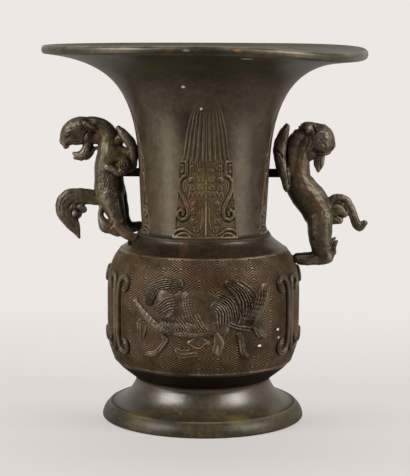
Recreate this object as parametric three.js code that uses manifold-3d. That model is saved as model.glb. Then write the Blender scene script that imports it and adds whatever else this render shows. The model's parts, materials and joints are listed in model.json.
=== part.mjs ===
// A cast bronze flower vase: a trumpet neck, a squat drum body and a splayed foot,
// cast apart and socketed together, with two climbing lions as handles.
// Millimetres, +Z up. The origin is the centre of the standing ring, the handles
// lie along X and the decorated front faces -Y.
import * as THREE from "three";
import { mergeVertices } from "three/addons/utils/BufferGeometryUtils.js";
import Module from "manifold-3d";

const wasm = await Module();
wasm.setup();

// Heights of the three hollow castings, from the table up
const FOOT_HEIGHT = 23;
const BODY_HEIGHT = 95;
const NECK_HEIGHT = 120;

// Foot
const FOOT_RADIUS = 65;
const FOOT_RIM = 6;
const FOOT_BAND_HEIGHT = 9;
const FOOT_BAND_LEAN = 4.4;
const FOOT_STEP = 0.8;
const FOOT_WALL = 4.5;
const COVE_REACH = 6.5;
const COVE_RISE = 2;

// Waist joint, where the foot's spigot enters the body
const WAIST_RADIUS = 43.5;
const WAIST_LEDGE = 5.2;
const FOOT_SPIGOT_HEIGHT = 6;
const FOOT_SPIGOT_WALL = 4;

// Body
const DRUM_RADIUS = 62;
const BELLY_RISE = 44;
const SHOULDER_DROP = 38;
const BODY_WALL = 4;
const COLLAR_DEPTH = 6;
const COLLAR_LEDGE = 0.9;
const PLATE_THICKNESS = 3;
const PLATE_LAP = 3;

// Neck and mouth
const NECK_RADIUS = 39.3;
const NECK_WALL = 4;
const NECK_RING_PROUD = 3.3;
const NECK_RING_HEIGHT = 1.6;
const NECK_COVE_HEIGHT = 5.4;
const NECK_SPIGOT_WALL = 2;
const MOUTH_RADIUS = 103;
const LIP_THICKNESS = 5.5;

// Handles: a tenon through the neck wall carries each lion's chest, and two dowel
// pins hold its hind paws on the shoulder
const TENON_RISE = 39.5;
const TENON_WIDTH = 6;
const TENON_HEIGHT = 5;
const TENON_HEAD = 2;
const TENON_HEAD_THICKNESS = 1.6;
const TENON_REACH = 15;
const LION_HEIGHT = 75;
const TOP_PAW_SPREAD = 12;
const SIDE_PAW_SPREAD = 7.5;
const PAW_RADIUS = 3.4;
const PIN_RADIUS = 1.3;
const PIN_IN_PAW = 3;
const PIN_IN_WALL = 3;
const TOP_PAW_OVERHANG = 3.4;
const SIDE_PAW_DROP = 15.8;

// Scroll mouldings on the drum
const SCROLL_ANGLE = 60;
const BACK_SCROLL_ANGLE = 104;
const SCROLL_HEIGHT = 52;
const SCROLL_CENTRE_DROP = 46;
const SCROLL_STROKE = 3.6;
const SCROLL_PROUD = 2.1;
const SCROLL_CURL = 5.6;
const SCROLL_CURL_TURNS = 0.8;
const SCROLL_CURL_END = 0.5;

// Beast in relief on the front and the back of the drum, cast in one with it
const BEAST_WIDTH = 96;
const BEAST_CENTRE_DROP = 48;
const BEAST_PROUD = 2.2;

// Leaf panels in relief round the neck, cast in one with it
const LEAF_COUNT = 4;
const LEAF_TURN = 1.8;
const LEAF_HEIGHT = 85;
const LEAF_FOOT_RISE = 5;
const LEAF_PROUD = 0.35;
const LEAF_ROOT = 1.5;

// Depth to which the beast is rooted in its wall, and the height below which a point is its foot
const RELIEF_ROOT = 0.6;
const RELIEF_FOOT = 0.01;

// Clearance left at every fitted joint
const FIT_GAP = 0.3;

// Facets
const LATHE_SEGMENTS = 40;
const CURVE_STEPS = 8;
const FLARE_STEPS = 11;
const LIP_STEPS = 4;
const PIN_SIDES = 10;
const CURL_STEPS = 9;
const BAR_STEPS = 8;
const SCROLL_SIDES = 6;
const RELIEF_SIDES = 4;
const LEAF_COLUMNS = 6;
const LIMB_SIDES = 7;
const TORSO_SIDES = 9;
const CAP_ANGLE = Math.PI / 4;

// Levels and radii that follow from the sizes above
const WAIST_Z = FOOT_HEIGHT;
const COLLAR_Z = WAIST_Z + BODY_HEIGHT;
const MOUTH_Z = COLLAR_Z + NECK_HEIGHT;
const FLOOR_Z = WAIST_Z + FOOT_SPIGOT_HEIGHT;
const TENON_Z = COLLAR_Z + TENON_RISE;
const FOOT_SPIGOT_RADIUS = WAIST_RADIUS - WAIST_LEDGE;
const NECK_SPIGOT_RADIUS = NECK_RADIUS - NECK_WALL + NECK_SPIGOT_WALL;
const NECK_RING_RADIUS = NECK_RADIUS + NECK_RING_PROUD;
const COLLAR_RADIUS = NECK_RING_RADIUS + COLLAR_LEDGE;

const bronze = (color, roughness) =>
  new THREE.MeshStandardMaterial({ color, roughness, metalness: 0.9 });
const PATINA = bronze(0x4a4238, 0.42);
const LION_PATINA = bronze(0x433c33, 0.38);
const SCROLL_PATINA = bronze(0x554c41, 0.4);
const JOINT_METAL = bronze(0x2f2a24, 0.55);

// Solids

function solid(geometry) {
  const bare = geometry.clone();
  bare.deleteAttribute("normal");
  bare.deleteAttribute("uv");
  const merged = mergeVertices(bare, 1e-4);
  return new wasm.Manifold(
    new wasm.Mesh({
      numProp: 3,
      vertProperties: merged.attributes.position.array,
      triVerts: new Uint32Array(merged.index.array),
    }),
  );
}

function geometryOf(manifold) {
  const { vertProperties, triVerts } = manifold.getMesh();
  const geometry = new THREE.BufferGeometry();
  geometry.setAttribute("position", new THREE.BufferAttribute(vertProperties, 3));
  geometry.setIndex(new THREE.BufferAttribute(triVerts, 1));
  geometry.computeVertexNormals();
  return geometry;
}

// Turns a closed (radius, height) outline about the vase's axis
function lathe(outline) {
  const geometry = new THREE.LatheGeometry(outline, LATHE_SEGMENTS);
  return geometry.rotateX(Math.PI / 2);
}

function closed(outline) {
  return [...outline, outline[0].clone()];
}

// The outline moved to its left by a distance; upward outlines move towards the axis
function inset(outline, distance) {
  return outline.map((point, i) => {
    const before = outline[Math.max(i - 1, 0)];
    const after = outline[Math.min(i + 1, outline.length - 1)];
    const along = after.clone().sub(before).normalize();
    return new THREE.Vector2(point.x - along.y * distance, point.y + along.x * distance);
  });
}

const at = (r, z) => new THREE.Vector2(r, z);

// Outer faces of the castings

function footOutline() {
  const bandTop = FOOT_RADIUS - FOOT_BAND_LEAN;
  const path = new THREE.Path();
  path.moveTo(FOOT_RADIUS, 0);
  path.quadraticCurveTo(FOOT_RADIUS, FOOT_BAND_HEIGHT / 2, bandTop, FOOT_BAND_HEIGHT);
  path.lineTo(bandTop - FOOT_STEP, FOOT_BAND_HEIGHT);
  path.quadraticCurveTo(
    WAIST_RADIUS + COVE_REACH,
    FOOT_BAND_HEIGHT + COVE_RISE,
    WAIST_RADIUS,
    WAIST_Z,
  );
  return path.getPoints(CURVE_STEPS / 2);
}

function bodyOutline() {
  const path = new THREE.Path();
  const swell = DRUM_RADIUS - WAIST_RADIUS;
  path.moveTo(WAIST_RADIUS, WAIST_Z);
  path.bezierCurveTo(
    WAIST_RADIUS + swell * 0.75,
    WAIST_Z + BELLY_RISE * 0.33,
    DRUM_RADIUS,
    WAIST_Z + BELLY_RISE * 0.4,
    DRUM_RADIUS,
    WAIST_Z + BELLY_RISE,
  );
  path.lineTo(DRUM_RADIUS, COLLAR_Z - SHOULDER_DROP);
  path.bezierCurveTo(
    DRUM_RADIUS,
    COLLAR_Z - SHOULDER_DROP * 0.18,
    COLLAR_RADIUS + (DRUM_RADIUS - COLLAR_RADIUS) * 0.27,
    COLLAR_Z - SHOULDER_DROP * 0.21,
    COLLAR_RADIUS,
    COLLAR_Z,
  );
  return path.getPoints(CURVE_STEPS);
}

function neckOutline() {
  const coveTop = COLLAR_Z + NECK_RING_HEIGHT + NECK_COVE_HEIGHT;
  const lipRoot = at(MOUTH_RADIUS - LIP_THICKNESS / 2, MOUTH_Z - LIP_THICKNESS);
  const rise = lipRoot.y - coveTop;
  const spread = lipRoot.x - NECK_RADIUS;
  const ring = new THREE.Path();
  ring.moveTo(NECK_RING_RADIUS, COLLAR_Z);
  ring.lineTo(NECK_RING_RADIUS, COLLAR_Z + NECK_RING_HEIGHT);
  ring.quadraticCurveTo(NECK_RADIUS, COLLAR_Z + NECK_RING_HEIGHT, NECK_RADIUS, coveTop);
  const flare = new THREE.CubicBezierCurve(
    at(NECK_RADIUS, coveTop),
    at(NECK_RADIUS + spread * 0.07, coveTop + rise * 0.53),
    at(NECK_RADIUS - spread * 0.07, lipRoot.y - rise * 0.052),
    lipRoot,
  );
  return [...ring.getPoints(CURVE_STEPS / 2), ...flare.getPoints(FLARE_STEPS).slice(1)];
}

// Radius of an outline at a height, on its straight pieces
function radiusAt(outline, z) {
  const i = outline.findIndex((point, k) => k > 0 && point.y >= z);
  const [low, high] = [outline[i - 1], outline[i]];
  return low.x + ((high.x - low.x) * (z - low.y)) / (high.y - low.y);
}

// Height of a falling outline at a radius
function heightAt(outline, r) {
  const i = outline.findIndex((point, k) => k > 0 && point.x <= r && outline[k - 1].x >= r);
  const [wide, tight] = [outline[i - 1], outline[i]];
  return wide.y + ((tight.y - wide.y) * (wide.x - r)) / (wide.x - tight.x);
}

const FOOT_OUTLINE = footOutline();
const BODY_OUTLINE = bodyOutline();
const NECK_OUTLINE = neckOutline();

// Hollow castings

function foot() {
  const spigotBore = FOOT_SPIGOT_RADIUS - FOOT_SPIGOT_WALL;
  const bore = new THREE.QuadraticBezierCurve(
    at(spigotBore, WAIST_Z),
    at(WAIST_RADIUS + COVE_REACH - FOOT_WALL, FOOT_BAND_HEIGHT + COVE_RISE - FOOT_WALL),
    at(FOOT_RADIUS - FOOT_RIM, 0),
  );
  const outline = [
    ...FOOT_OUTLINE,
    at(FOOT_SPIGOT_RADIUS, WAIST_Z),
    at(FOOT_SPIGOT_RADIUS, FLOOR_Z),
    at(spigotBore, FLOOR_Z),
    ...bore.getPoints(CURVE_STEPS / 2),
  ];
  return solid(lathe(closed(outline)));
}

function body() {
  const opening = FOOT_SPIGOT_RADIUS + FIT_GAP;
  const socket = NECK_SPIGOT_RADIUS + FIT_GAP;
  const ceiling = COLLAR_Z - COLLAR_DEPTH;
  const cavity = inset(BODY_OUTLINE, BODY_WALL)
    .filter((point) => point.y > FLOOR_Z && point.y < ceiling)
    .reverse();
  const outline = [
    ...BODY_OUTLINE,
    at(socket, COLLAR_Z),
    at(socket, ceiling),
    ...cavity,
    at(cavity.at(-1).x, FLOOR_Z),
    at(opening, FLOOR_Z),
    at(opening, WAIST_Z),
  ];
  return solid(lathe(closed(outline)));
}

function neck() {
  const bore = NECK_RADIUS - NECK_WALL;
  const lip = new THREE.Path();
  const lipRadius = LIP_THICKNESS / 2;
  lip.absarc(MOUTH_RADIUS - lipRadius, MOUTH_Z - lipRadius, lipRadius, -Math.PI / 2, Math.PI / 2);
  const throat = inset(NECK_OUTLINE, NECK_WALL)
    .filter((point) => point.y > COLLAR_Z + NECK_RING_HEIGHT + NECK_COVE_HEIGHT)
    .reverse()
    .slice(1);
  const outline = [
    ...NECK_OUTLINE,
    ...lip.getPoints(LIP_STEPS).slice(1),
    ...throat,
    at(bore, COLLAR_Z - COLLAR_DEPTH),
    at(NECK_SPIGOT_RADIUS, COLLAR_Z - COLLAR_DEPTH),
    at(NECK_SPIGOT_RADIUS, COLLAR_Z),
  ];
  return solid(lathe(closed(outline)));
}

function basePlate() {
  const radius = FOOT_SPIGOT_RADIUS + FIT_GAP + PLATE_LAP;
  const outline = [
    at(0, FLOOR_Z),
    at(radius, FLOOR_Z),
    at(radius, FLOOR_Z + PLATE_THICKNESS),
    at(0, FLOOR_Z + PLATE_THICKNESS),
  ];
  return solid(lathe(outline));
}

// All that a handle must stay clear of: body and neck with its leaves, grown by the clearance
function vesselEnvelope() {
  const skin = [...BODY_OUTLINE, ...inset(NECK_OUTLINE, -LEAF_PROUD)];
  const grown = inset(skin, -FIT_GAP);
  return solid(lathe([at(0, WAIST_Z), ...grown, at(0, MOUTH_Z)]));
}

// A closed tapering limb through stations [out, side, up, radius]. flat narrows its
// section sideways, and wrap moves each finished point.
function limb(stations, { flat = 1, sides = LIMB_SIDES, steps = 2, wrap = (p) => p } = {}) {
  const path = new THREE.CatmullRomCurve3(
    stations.map(([out, side, up]) => new THREE.Vector3(out, side, up)),
  );
  const spans = stations.length - 1;
  const rings = [];
  for (let k = 0; k <= spans * steps; k++) {
    const t = k / (spans * steps);
    const i = Math.min(Math.floor(k / steps), spans - 1);
    const radius = THREE.MathUtils.lerp(stations[i][3], stations[i + 1][3], k / steps - i);
    rings.push({ centre: path.getPoint(t), tangent: path.getTangent(t), radius });
  }
  const cap = ({ centre, tangent, radius }, way) => ({
    centre: centre.clone().addScaledVector(tangent, way * radius * Math.sin(CAP_ANGLE)),
    tangent,
    radius: radius * Math.cos(CAP_ANGLE),
  });
  const pole = ({ centre, tangent, radius }, way) =>
    centre.clone().addScaledVector(tangent, way * radius);
  const poles = [pole(rings[0], -1), pole(rings.at(-1), 1)];
  const all = [cap(rings[0], -1), ...rings, cap(rings.at(-1), 1)];

  const points = [];
  let across = new THREE.Vector3(0, 1, 0);
  if (Math.abs(all[0].tangent.y) > 0.9) across = new THREE.Vector3(0, 0, 1);
  for (const { centre, tangent, radius } of all) {
    across = across.clone().addScaledVector(tangent, -across.dot(tangent)).normalize();
    const face = across.clone().cross(tangent);
    for (let s = 0; s < sides; s++) {
      const angle = (2 * Math.PI * s) / sides;
      const point = centre.clone().addScaledVector(face, radius * Math.cos(angle));
      points.push(point.addScaledVector(across, radius * flat * Math.sin(angle)));
    }
  }
  const first = points.length;
  points.push(...poles);

  const faces = [];
  for (let s = 0; s < sides; s++) {
    const next = (s + 1) % sides;
    for (let k = 0; k + 1 < all.length; k++) {
      const [a, b] = [k * sides + s, k * sides + next];
      faces.push(a, b, b + sides, a, b + sides, a + sides);
    }
    const last = (all.length - 1) * sides;
    faces.push(first, next, s, first + 1, last + s, last + next);
  }
  const geometry = new THREE.BufferGeometry().setFromPoints(points.map(wrap));
  geometry.setIndex(faces);
  return solid(geometry);
}

function joined(solids) {
  return solids.reduce((whole, piece) => whole.add(piece));
}

// Lions. Stations are [out, side, up, radius] of a handle drawn 75 high, measured from the
// seat: the neck's face at the tenon. A positive side is towards the decorated front.

const lionUnit = LION_HEIGHT / 75;
const seatOnNeck = new THREE.Vector3(radiusAt(NECK_OUTLINE, TENON_Z), 0, TENON_Z);

function seated(stations, near) {
  return stations.map(([out, side, up, r]) => [
    seatOnNeck.x + out * lionUnit,
    near * side * lionUnit,
    seatOnNeck.z + up * lionUnit,
    r * lionUnit,
  ]);
}

// A place on the vase as a station of a lion
function stationAt(place, side, radius) {
  const from = place.clone().sub(seatOnNeck).divideScalar(lionUnit);
  return [from.x, side * from.y, from.z, radius / lionUnit];
}

// Looks back over its shoulder with the mouth open, and stands on top of the shoulder
function roaringLion(near) {
  const on = (stations, form) => limb(seated(stations, near), form);
  const pawOut = COLLAR_RADIUS + TOP_PAW_OVERHANG;
  const sole = heightAt(BODY_OUTLINE, Math.hypot(pawOut, TOP_PAW_SPREAD));
  const pinFoot = new THREE.Vector3(pawOut, TOP_PAW_SPREAD, sole);
  const paw = pinFoot.clone().setZ(sole + PAW_RADIUS * 0.8);
  const nearLeg = on([
    [20, 3.5, -14.8, 8],
    [17.3, 5.4, -21.2, 7.2],
    [15, 7.4, -27.7, 5.6],
    [12.8, 9.2, -33.3, 4.4],
    stationAt(paw, 1, PAW_RADIUS),
  ]);
  const farLeg = on([
    [16.6, -4.5, -16.7, 6.2],
    [14.2, -6, -23.2, 4.8],
    [12.4, -8, -29, 3.8],
    [9.4, -10, -34, 3.3],
    stationAt(paw, -1, PAW_RADIUS),
  ]);
  const heel = on([
    [24, 6, -22, 1.8],
    [24.2, 6.6, -28, 2.2],
    [21.4, 8, -33.6, 4.2],
    [13, 10.2, -37.6, 3.3],
  ]);
  const torso = on(
    [
      [19.6, 0, 21.9, 6.1],
      [19.2, 0, 15.5, 7.7],
      [19, 0, 10.3, 8.5],
      [20.1, 0, 4.5, 9],
      [19.9, 0, -1.3, 9],
      [19.6, 0, -7.7, 9.6],
      [19.2, 0, -14.2, 9.6],
      [18.8, 0, -18.7, 8.6],
    ],
    { sides: TORSO_SIDES, steps: 1 },
  );
  const chest = on([
    [17, 0, 12, 7],
    [10.6, 1.5, 8.6, 5],
    [6.4, 3, 5, 3.6],
  ]);
  const crest = on([
    [19.2, 0, 20, 6.4],
    [19.8, 0, 25.8, 5.6],
    [27.5, 0, 30.6, 4.9],
    [34, 0, 30, 5],
  ]);
  const head = on(
    [
      [32, 0, 29.3, 5.8],
      [37.1, 0, 28.3, 7.4],
      [42.2, 0, 27.1, 6.7],
      [46, 0, 23.8, 5.4],
      [48.6, 0, 20, 2.8],
    ],
    { sides: TORSO_SIDES },
  );
  const cheek = on([
    [26, 0, 21, 4.6],
    [33.9, 0, 23.4, 5.4],
    [42, 0, 21.9, 4.8],
    [46.7, 0, 19.3, 3.2],
    [47.3, 0, 16.6, 2.3],
  ]);
  const jaw = on([
    [34.8, 0, 19.5, 3],
    [35.5, 0, 14.2, 3.1],
    [36.8, 0, 11, 3.2],
    [42.3, 0, 11.6, 1.4],
  ]);
  const beard = on([
    [35.2, 0, 11, 2.6],
    [31, 0, 13.6, 1.9],
    [27.4, 0, 15.9, 0.9],
  ]);
  const raisedArm = on([
    [13.4, 4.5, 29, 1.5],
    [9.8, 5, 25.4, 2.8],
    [6.4, 5.5, 20.4, 3],
    [3.9, 5.5, 13.5, 2.6],
    [4.2, 5.5, 6, 2.6],
    [11, 4.6, 4, 3.6],
  ]);
  const restingArm = on([
    [20.5, 7.6, 3.9, 2.4],
    [14, 9.2, 0.8, 2.3],
    [10.7, 9.2, 1.8, 2.5],
    [9.8, 8.6, 5.2, 3.3],
  ]);
  const tail = on(
    [
      [21.7, 0, -16.7, 4.6],
      [32.6, 0, -16, 4.7],
      [44.8, 0, -16.2, 5.4],
      [48.4, 0, -19.6, 5.5],
      [48, 0, -25.1, 5.9],
      [45.7, 0, -29.6, 5.4],
      [42.5, 0, -34.8, 4],
      [38.8, 0, -42.7, 0.7],
    ],
    { flat: 0.62 },
  );
  const tailCurl = on([
    [43, 0, -23.6, 4.4],
    [40, 0, -25.4, 4],
    [37.4, 0, -24.4, 3],
  ]);
  return {
    form: joined([
      torso,
      chest,
      crest,
      head,
      cheek,
      jaw,
      beard,
      raisedArm,
      restingArm,
      nearLeg,
      farLeg,
      heel,
      tail,
      tailCurl,
    ]),
    pinFoot,
    pinWay: new THREE.Vector3(0, 0, -1),
  };
}

// Lifts its head away from the vase and braces its toes on the side of the shoulder
function climbingLion(near) {
  const on = (stations, form) => limb(seated(stations, near), form);
  const toeZ = COLLAR_Z - SIDE_PAW_DROP;
  const toeReach = Math.sqrt(radiusAt(BODY_OUTLINE, toeZ) ** 2 - SIDE_PAW_SPREAD ** 2);
  const pinFoot = new THREE.Vector3(toeReach, SIDE_PAW_SPREAD, toeZ);
  const toe = pinFoot.clone().setX(toeReach + PAW_RADIUS * 0.8);
  const hindLeg = (side) =>
    on([
      [34.5, side * 4, -29.4, 8.2],
      [33.8, side * 5.6, -35.8, 7.4],
      [33.7, side * 6.4, -41.6, 6.8],
      [35.6, side * 7, -49, 6.4],
      [37.6, side * 7, -54, 4.5],
      [30, side * 7, -56, 3.4],
      stationAt(toe, side, PAW_RADIUS),
    ]);
  const foreLeg = (side) =>
    on([
      [12.5, side * 5.2, 30.4, 1.3],
      [10.7, side * 5.4, 26.5, 2.9],
      [8, side * 5.6, 20, 3.9],
      [7.2, side * 5.8, 12, 4],
      [8.6, side * 6, 4, 3.9],
      [10.6, side * 6, -4.4, 2.9],
      [11.2, side * 5, -9.8, 1.7],
    ]);
  const shoulder = (side) =>
    on([
      [10, side * 5.4, 1, 3.2],
      [17, side * 4, 0, 5],
    ]);
  const torso = on(
    [
      [19.6, 0, 15, 7.2],
      [18.8, 0, 7.9, 7.3],
      [18.4, 0, 1.5, 7.3],
      [19.6, 0, -5, 8],
      [24.8, 0, -12, 8.6],
      [30.4, 0, -18.5, 8.8],
      [34, 0, -26, 9],
    ],
    { sides: TORSO_SIDES, steps: 1 },
  );
  const head = on(
    [
      [19.6, 0, 15, 7.2],
      [24.6, 0, 19.3, 7.4],
      [29.5, 0, 21.5, 8],
      [34.6, 0, 22, 9],
    ],
    { sides: TORSO_SIDES },
  );
  const crownLump = on([
    [24.8, 2, 28.6, 4.5],
    [24.8, -2, 28.6, 4.5],
  ]);
  const browLump = on([
    [37.2, 2, 27, 4.2],
    [37.2, -2, 27, 4.2],
  ]);
  const muzzle = on([
    [36.4, 0, 18.4, 5.6],
    [40.2, 0, 18.1, 4],
  ]);
  const throat = on([
    [32, 0, 15, 4.4],
    [27.4, 0, 12, 4.4],
    [25.4, 0, 6.6, 3.2],
  ]);
  const tongue = on(
    [
      [33.6, 3.2, 12.4, 2.8],
      [33.1, 3.8, 6.5, 3.6],
      [32.6, 3.6, 0.7, 1],
    ],
    { flat: 0.5 },
  );
  const rump = on([
    [38, 0, -22, 6],
    [43.4, 0, -24.4, 5.2],
    [47, 0, -28, 3.8],
  ]);
  const tail = on([
    [39.5, 0, -22.2, 4.3],
    [41.6, 0, -18.3, 3.3],
    [45.2, 0, -16.3, 2.8],
    [49.4, 0, -17.8, 2.8],
    [52.6, 0, -22.2, 2.8],
    [55.6, 0, -31, 2.9],
    [58, 0, -34.6, 2.6],
    [59.6, 0, -32.6, 2.1],
  ]);
  const spur = (side) =>
    on([
      [40.4, side * 7, -47, 3],
      [44, side * 7.2, -43.2, 1],
    ]);
  return {
    form: joined([
      torso,
      head,
      crownLump,
      browLump,
      muzzle,
      throat,
      tongue,
      foreLeg(1),
      foreLeg(-1),
      shoulder(1),
      shoulder(-1),
      hindLeg(1),
      hindLeg(-1),
      rump,
      tail,
      spur(1),
      spur(-1),
    ]),
    pinFoot,
    pinWay: new THREE.Vector3(-1, 0, 0),
  };
}

// Fixings, in the frame of a handle that lies along +X

function block(low, high) {
  const size = high.clone().sub(low);
  const centre = low.clone().add(high).multiplyScalar(0.5);
  const geometry = new THREE.BoxGeometry(size.x, size.y, size.z);
  return solid(geometry.translate(centre.x, centre.y, centre.z));
}

const tenonEnd = seatOnNeck.x + TENON_REACH;

function tenonBar(grow) {
  const [wide, high] = [TENON_WIDTH / 2 + grow, TENON_HEIGHT / 2 + grow];
  const headFace = tenonHeadFace();
  return block(
    new THREE.Vector3(headFace - grow, -wide, TENON_Z - high),
    new THREE.Vector3(tenonEnd + grow, wide, TENON_Z + high),
  );
}

// The peened head's outer face, clear of the curved bore at its corners
function tenonHeadFace() {
  const bore = radiusAt(NECK_OUTLINE, TENON_Z - TENON_HEIGHT / 2 - TENON_HEAD) - NECK_WALL;
  const facetBore = bore * Math.cos(Math.PI / LATHE_SEGMENTS);
  return Math.sqrt(facetBore ** 2 - (TENON_WIDTH / 2 + TENON_HEAD) ** 2) - FIT_GAP;
}

function tenon() {
  const [wide, high] = [TENON_WIDTH / 2 + TENON_HEAD, TENON_HEIGHT / 2 + TENON_HEAD];
  const face = tenonHeadFace();
  const head = block(
    new THREE.Vector3(face - TENON_HEAD_THICKNESS, -wide, TENON_Z - high),
    new THREE.Vector3(face, wide, TENON_Z + high),
  );
  return tenonBar(0).add(head);
}

// A dowel whose middle lies where the paw meets the wall
function pin({ pinFoot, pinWay }, side, grow) {
  const [inPaw, inWall] = [PIN_IN_PAW + grow, PIN_IN_WALL + grow];
  const geometry = new THREE.CylinderGeometry(
    PIN_RADIUS + grow,
    PIN_RADIUS + grow,
    inPaw + inWall,
    PIN_SIDES,
  );
  const turn = new THREE.Quaternion().setFromUnitVectors(new THREE.Vector3(0, 1, 0), pinWay);
  const middle = pinFoot.clone().addScaledVector(pinWay, (inWall - inPaw) / 2);
  geometry.applyQuaternion(turn);
  return solid(geometry.translate(middle.x, side * middle.y, middle.z));
}

function handleCasting(lion) {
  return lion.form
    .subtract(vesselEnvelope())
    .subtract(tenonBar(FIT_GAP))
    .subtract(pin(lion, 1, FIT_GAP))
    .subtract(pin(lion, -1, FIT_GAP));
}

// Relief. A raised form runs through stations [across, up, half width], bent round an outline
// at a bearing, and its foot is rooted in the wall.
function raised(stations, { outline, bearing, proud }) {
  const widest = Math.max(...stations.map(([, , half]) => half));
  const flat = proud / (widest * Math.sin((2 * Math.PI) / RELIEF_SIDES));
  const wrap = (point) => {
    const face = radiusAt(outline, point.z);
    const angle = bearing - point.x / face;
    const stand = point.y > RELIEF_FOOT ? point.y : -RELIEF_ROOT;
    const r = face + stand;
    return new THREE.Vector3(r * Math.cos(angle), r * Math.sin(angle), point.z);
  };
  const spine = stations.map(([across, up, half]) => [-across, 0, up, half]);
  return limb(spine, { flat, sides: RELIEF_SIDES, steps: 1, wrap });
}

// A winged beast, drawn 96 wide about its middle
function beast(bearing) {
  const unit = BEAST_WIDTH / 96;
  const middle = COLLAR_Z - BEAST_CENTRE_DROP;
  const form = (...stations) =>
    raised(
      stations.map(([across, up, half]) => [across * unit, middle + up * unit, half * unit]),
      { outline: BODY_OUTLINE, bearing, proud: BEAST_PROUD },
    );
  const crest = form([-31, 20, 4.4], [-14, 21.5, 5]);
  const face = form([-18, 20, 5.4], [-21.5, 14, 6], [-26.5, 6, 5]);
  const nearWing = form([-47, 10, 3], [-35, 0, 4.2], [-22, -6, 4]);
  const trunk = form([-24, -2, 6], [-8, -3, 6.6], [8, -1, 6.6], [18, 1, 6]);
  const mane = form([-6, 22, 5], [-3, 12, 6.6], [2, 3, 6]);
  const shoulder = form([5, 13, 5.4], [14, 10, 6.4], [18.5, 1, 5.4]);
  const farWing = form([16, 23.5, 4], [24, 16.5, 5.4], [28.5, 3, 5]);
  const tail = form([43.5, 19.5, 4], [37.5, 8.5, 5.8], [28, 1, 6]);
  const foreLeg = form([-25, -8, 2.8], [-27, -15.5, 2.6], [-38.5, -22.4, 2.2]);
  const forePaw = form([-41.5, -1, 3], [-40.5, -13, 2.6]);
  const midLeg = form([8, -5.5, 4.4], [9.8, -15.5, 4.4]);
  const hindLeg = form([22.5, -5, 2.8], [23, -15, 2.6], [25.5, -20, 2.2]);
  const hindPaw = form([33, -5.5, 2.8], [41, -10.8, 2.4]);
  const front = [crest, face, nearWing, trunk, mane];
  const rear = [shoulder, farWing, tail];
  return joined([...front, ...rear, foreLeg, forePaw, midLeg, hindLeg, hindPaw]);
}

// A tall leaf, drawn 88 high from its foot
function leaf(bearing) {
  const unit = LEAF_HEIGHT / 88;
  const foot = COLLAR_Z + LEAF_FOOT_RISE;
  const edge = [
    [0, 22.4],
    [30, 18],
    [48.2, 17.1],
    [49.4, 15.3],
    [65.5, 12.7],
    [80, 8.6],
    [88, 4],
  ].map(([rise, half]) => [foot + rise * unit, half * unit]);
  const points = [];
  for (const stand of [LEAF_PROUD, -LEAF_ROOT]) {
    for (const [z, half] of edge) {
      const face = radiusAt(NECK_OUTLINE, z);
      for (let k = 0; k <= LEAF_COLUMNS; k++) {
        const angle = bearing + ((2 * k) / LEAF_COLUMNS - 1) * (half / face);
        const r = face + stand;
        points.push(new THREE.Vector3(r * Math.cos(angle), r * Math.sin(angle), z));
      }
    }
  }
  const wide = LEAF_COLUMNS + 1;
  const layer = wide * edge.length;
  const faces = [];
  const quad = (a, b, c, d) => faces.push(a, b, c, a, c, d);
  for (let r = 0; r + 1 < edge.length; r++) {
    for (let k = 0; k < LEAF_COLUMNS; k++) {
      const a = r * wide + k;
      quad(a, a + 1, a + 1 + wide, a + wide);
      quad(layer + a, layer + a + wide, layer + a + wide + 1, layer + a + 1);
    }
    const [left, right] = [r * wide, r * wide + LEAF_COLUMNS];
    quad(left, left + wide, layer + left + wide, layer + left);
    quad(right, layer + right, layer + right + wide, right + wide);
  }
  for (let k = 0; k < LEAF_COLUMNS; k++) {
    const top = layer - wide + k;
    quad(k, layer + k, layer + k + 1, k + 1);
    quad(top, top + 1, layer + top + 1, layer + top);
  }
  const geometry = new THREE.BufferGeometry().setFromPoints(points);
  geometry.setIndex(faces);
  return solid(geometry);
}

// Scroll mouldings: two C scrolls back to back, bent round the drum

function scrollStroke(way) {
  const radius = SCROLL_STROKE / 2;
  const curlUp = SCROLL_HEIGHT / 2 - SCROLL_CURL;
  const bar = way * radius * 0.9;
  const curl = (end) => {
    const stations = [];
    for (let k = 0; k <= CURL_STEPS; k++) {
      const turn = SCROLL_CURL_TURNS * 2 * Math.PI * (1 - k / CURL_STEPS);
      const reach = THREE.MathUtils.lerp(SCROLL_CURL, SCROLL_CURL * SCROLL_CURL_END, 1 - k / CURL_STEPS);
      const u = bar + way * (SCROLL_CURL - reach * Math.cos(turn));
      stations.push([u, 0, end * (curlUp + reach * Math.sin(turn)), radius]);
    }
    return stations;
  };
  const straight = [];
  for (let k = 1; k < BAR_STEPS; k++) {
    straight.push([bar, 0, THREE.MathUtils.lerp(curlUp, -curlUp, k / BAR_STEPS), radius]);
  }
  return [...curl(1), ...straight, ...curl(-1).reverse()];
}

function scroll(bearing) {
  const middle = COLLAR_Z - SCROLL_CENTRE_DROP;
  const flat = (2 * SCROLL_PROUD) / (SCROLL_STROKE * Math.sin(Math.PI / 3));
  const wrap = (point) => {
    const z = middle + point.z;
    const face = radiusAt(BODY_OUTLINE, z) + FIT_GAP;
    const angle = bearing - point.x / DRUM_RADIUS;
    const r = face + Math.max(point.y, 0);
    return new THREE.Vector3(r * Math.cos(angle), r * Math.sin(angle), z);
  };
  const form = { flat, sides: SCROLL_SIDES, steps: 1, wrap };
  return joined([limb(scrollStroke(1), form), limb(scrollStroke(-1), form)]);
}

// Assembly

function named(name, manifold, material) {
  const mesh = new THREE.Mesh(geometryOf(manifold), material);
  mesh.name = name;
  return mesh;
}

const vase = new THREE.Group();
const lions = { left: roaringLion(1), right: climbingLion(-1) };
const turnOf = { left: Math.PI, right: 0 };

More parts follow.
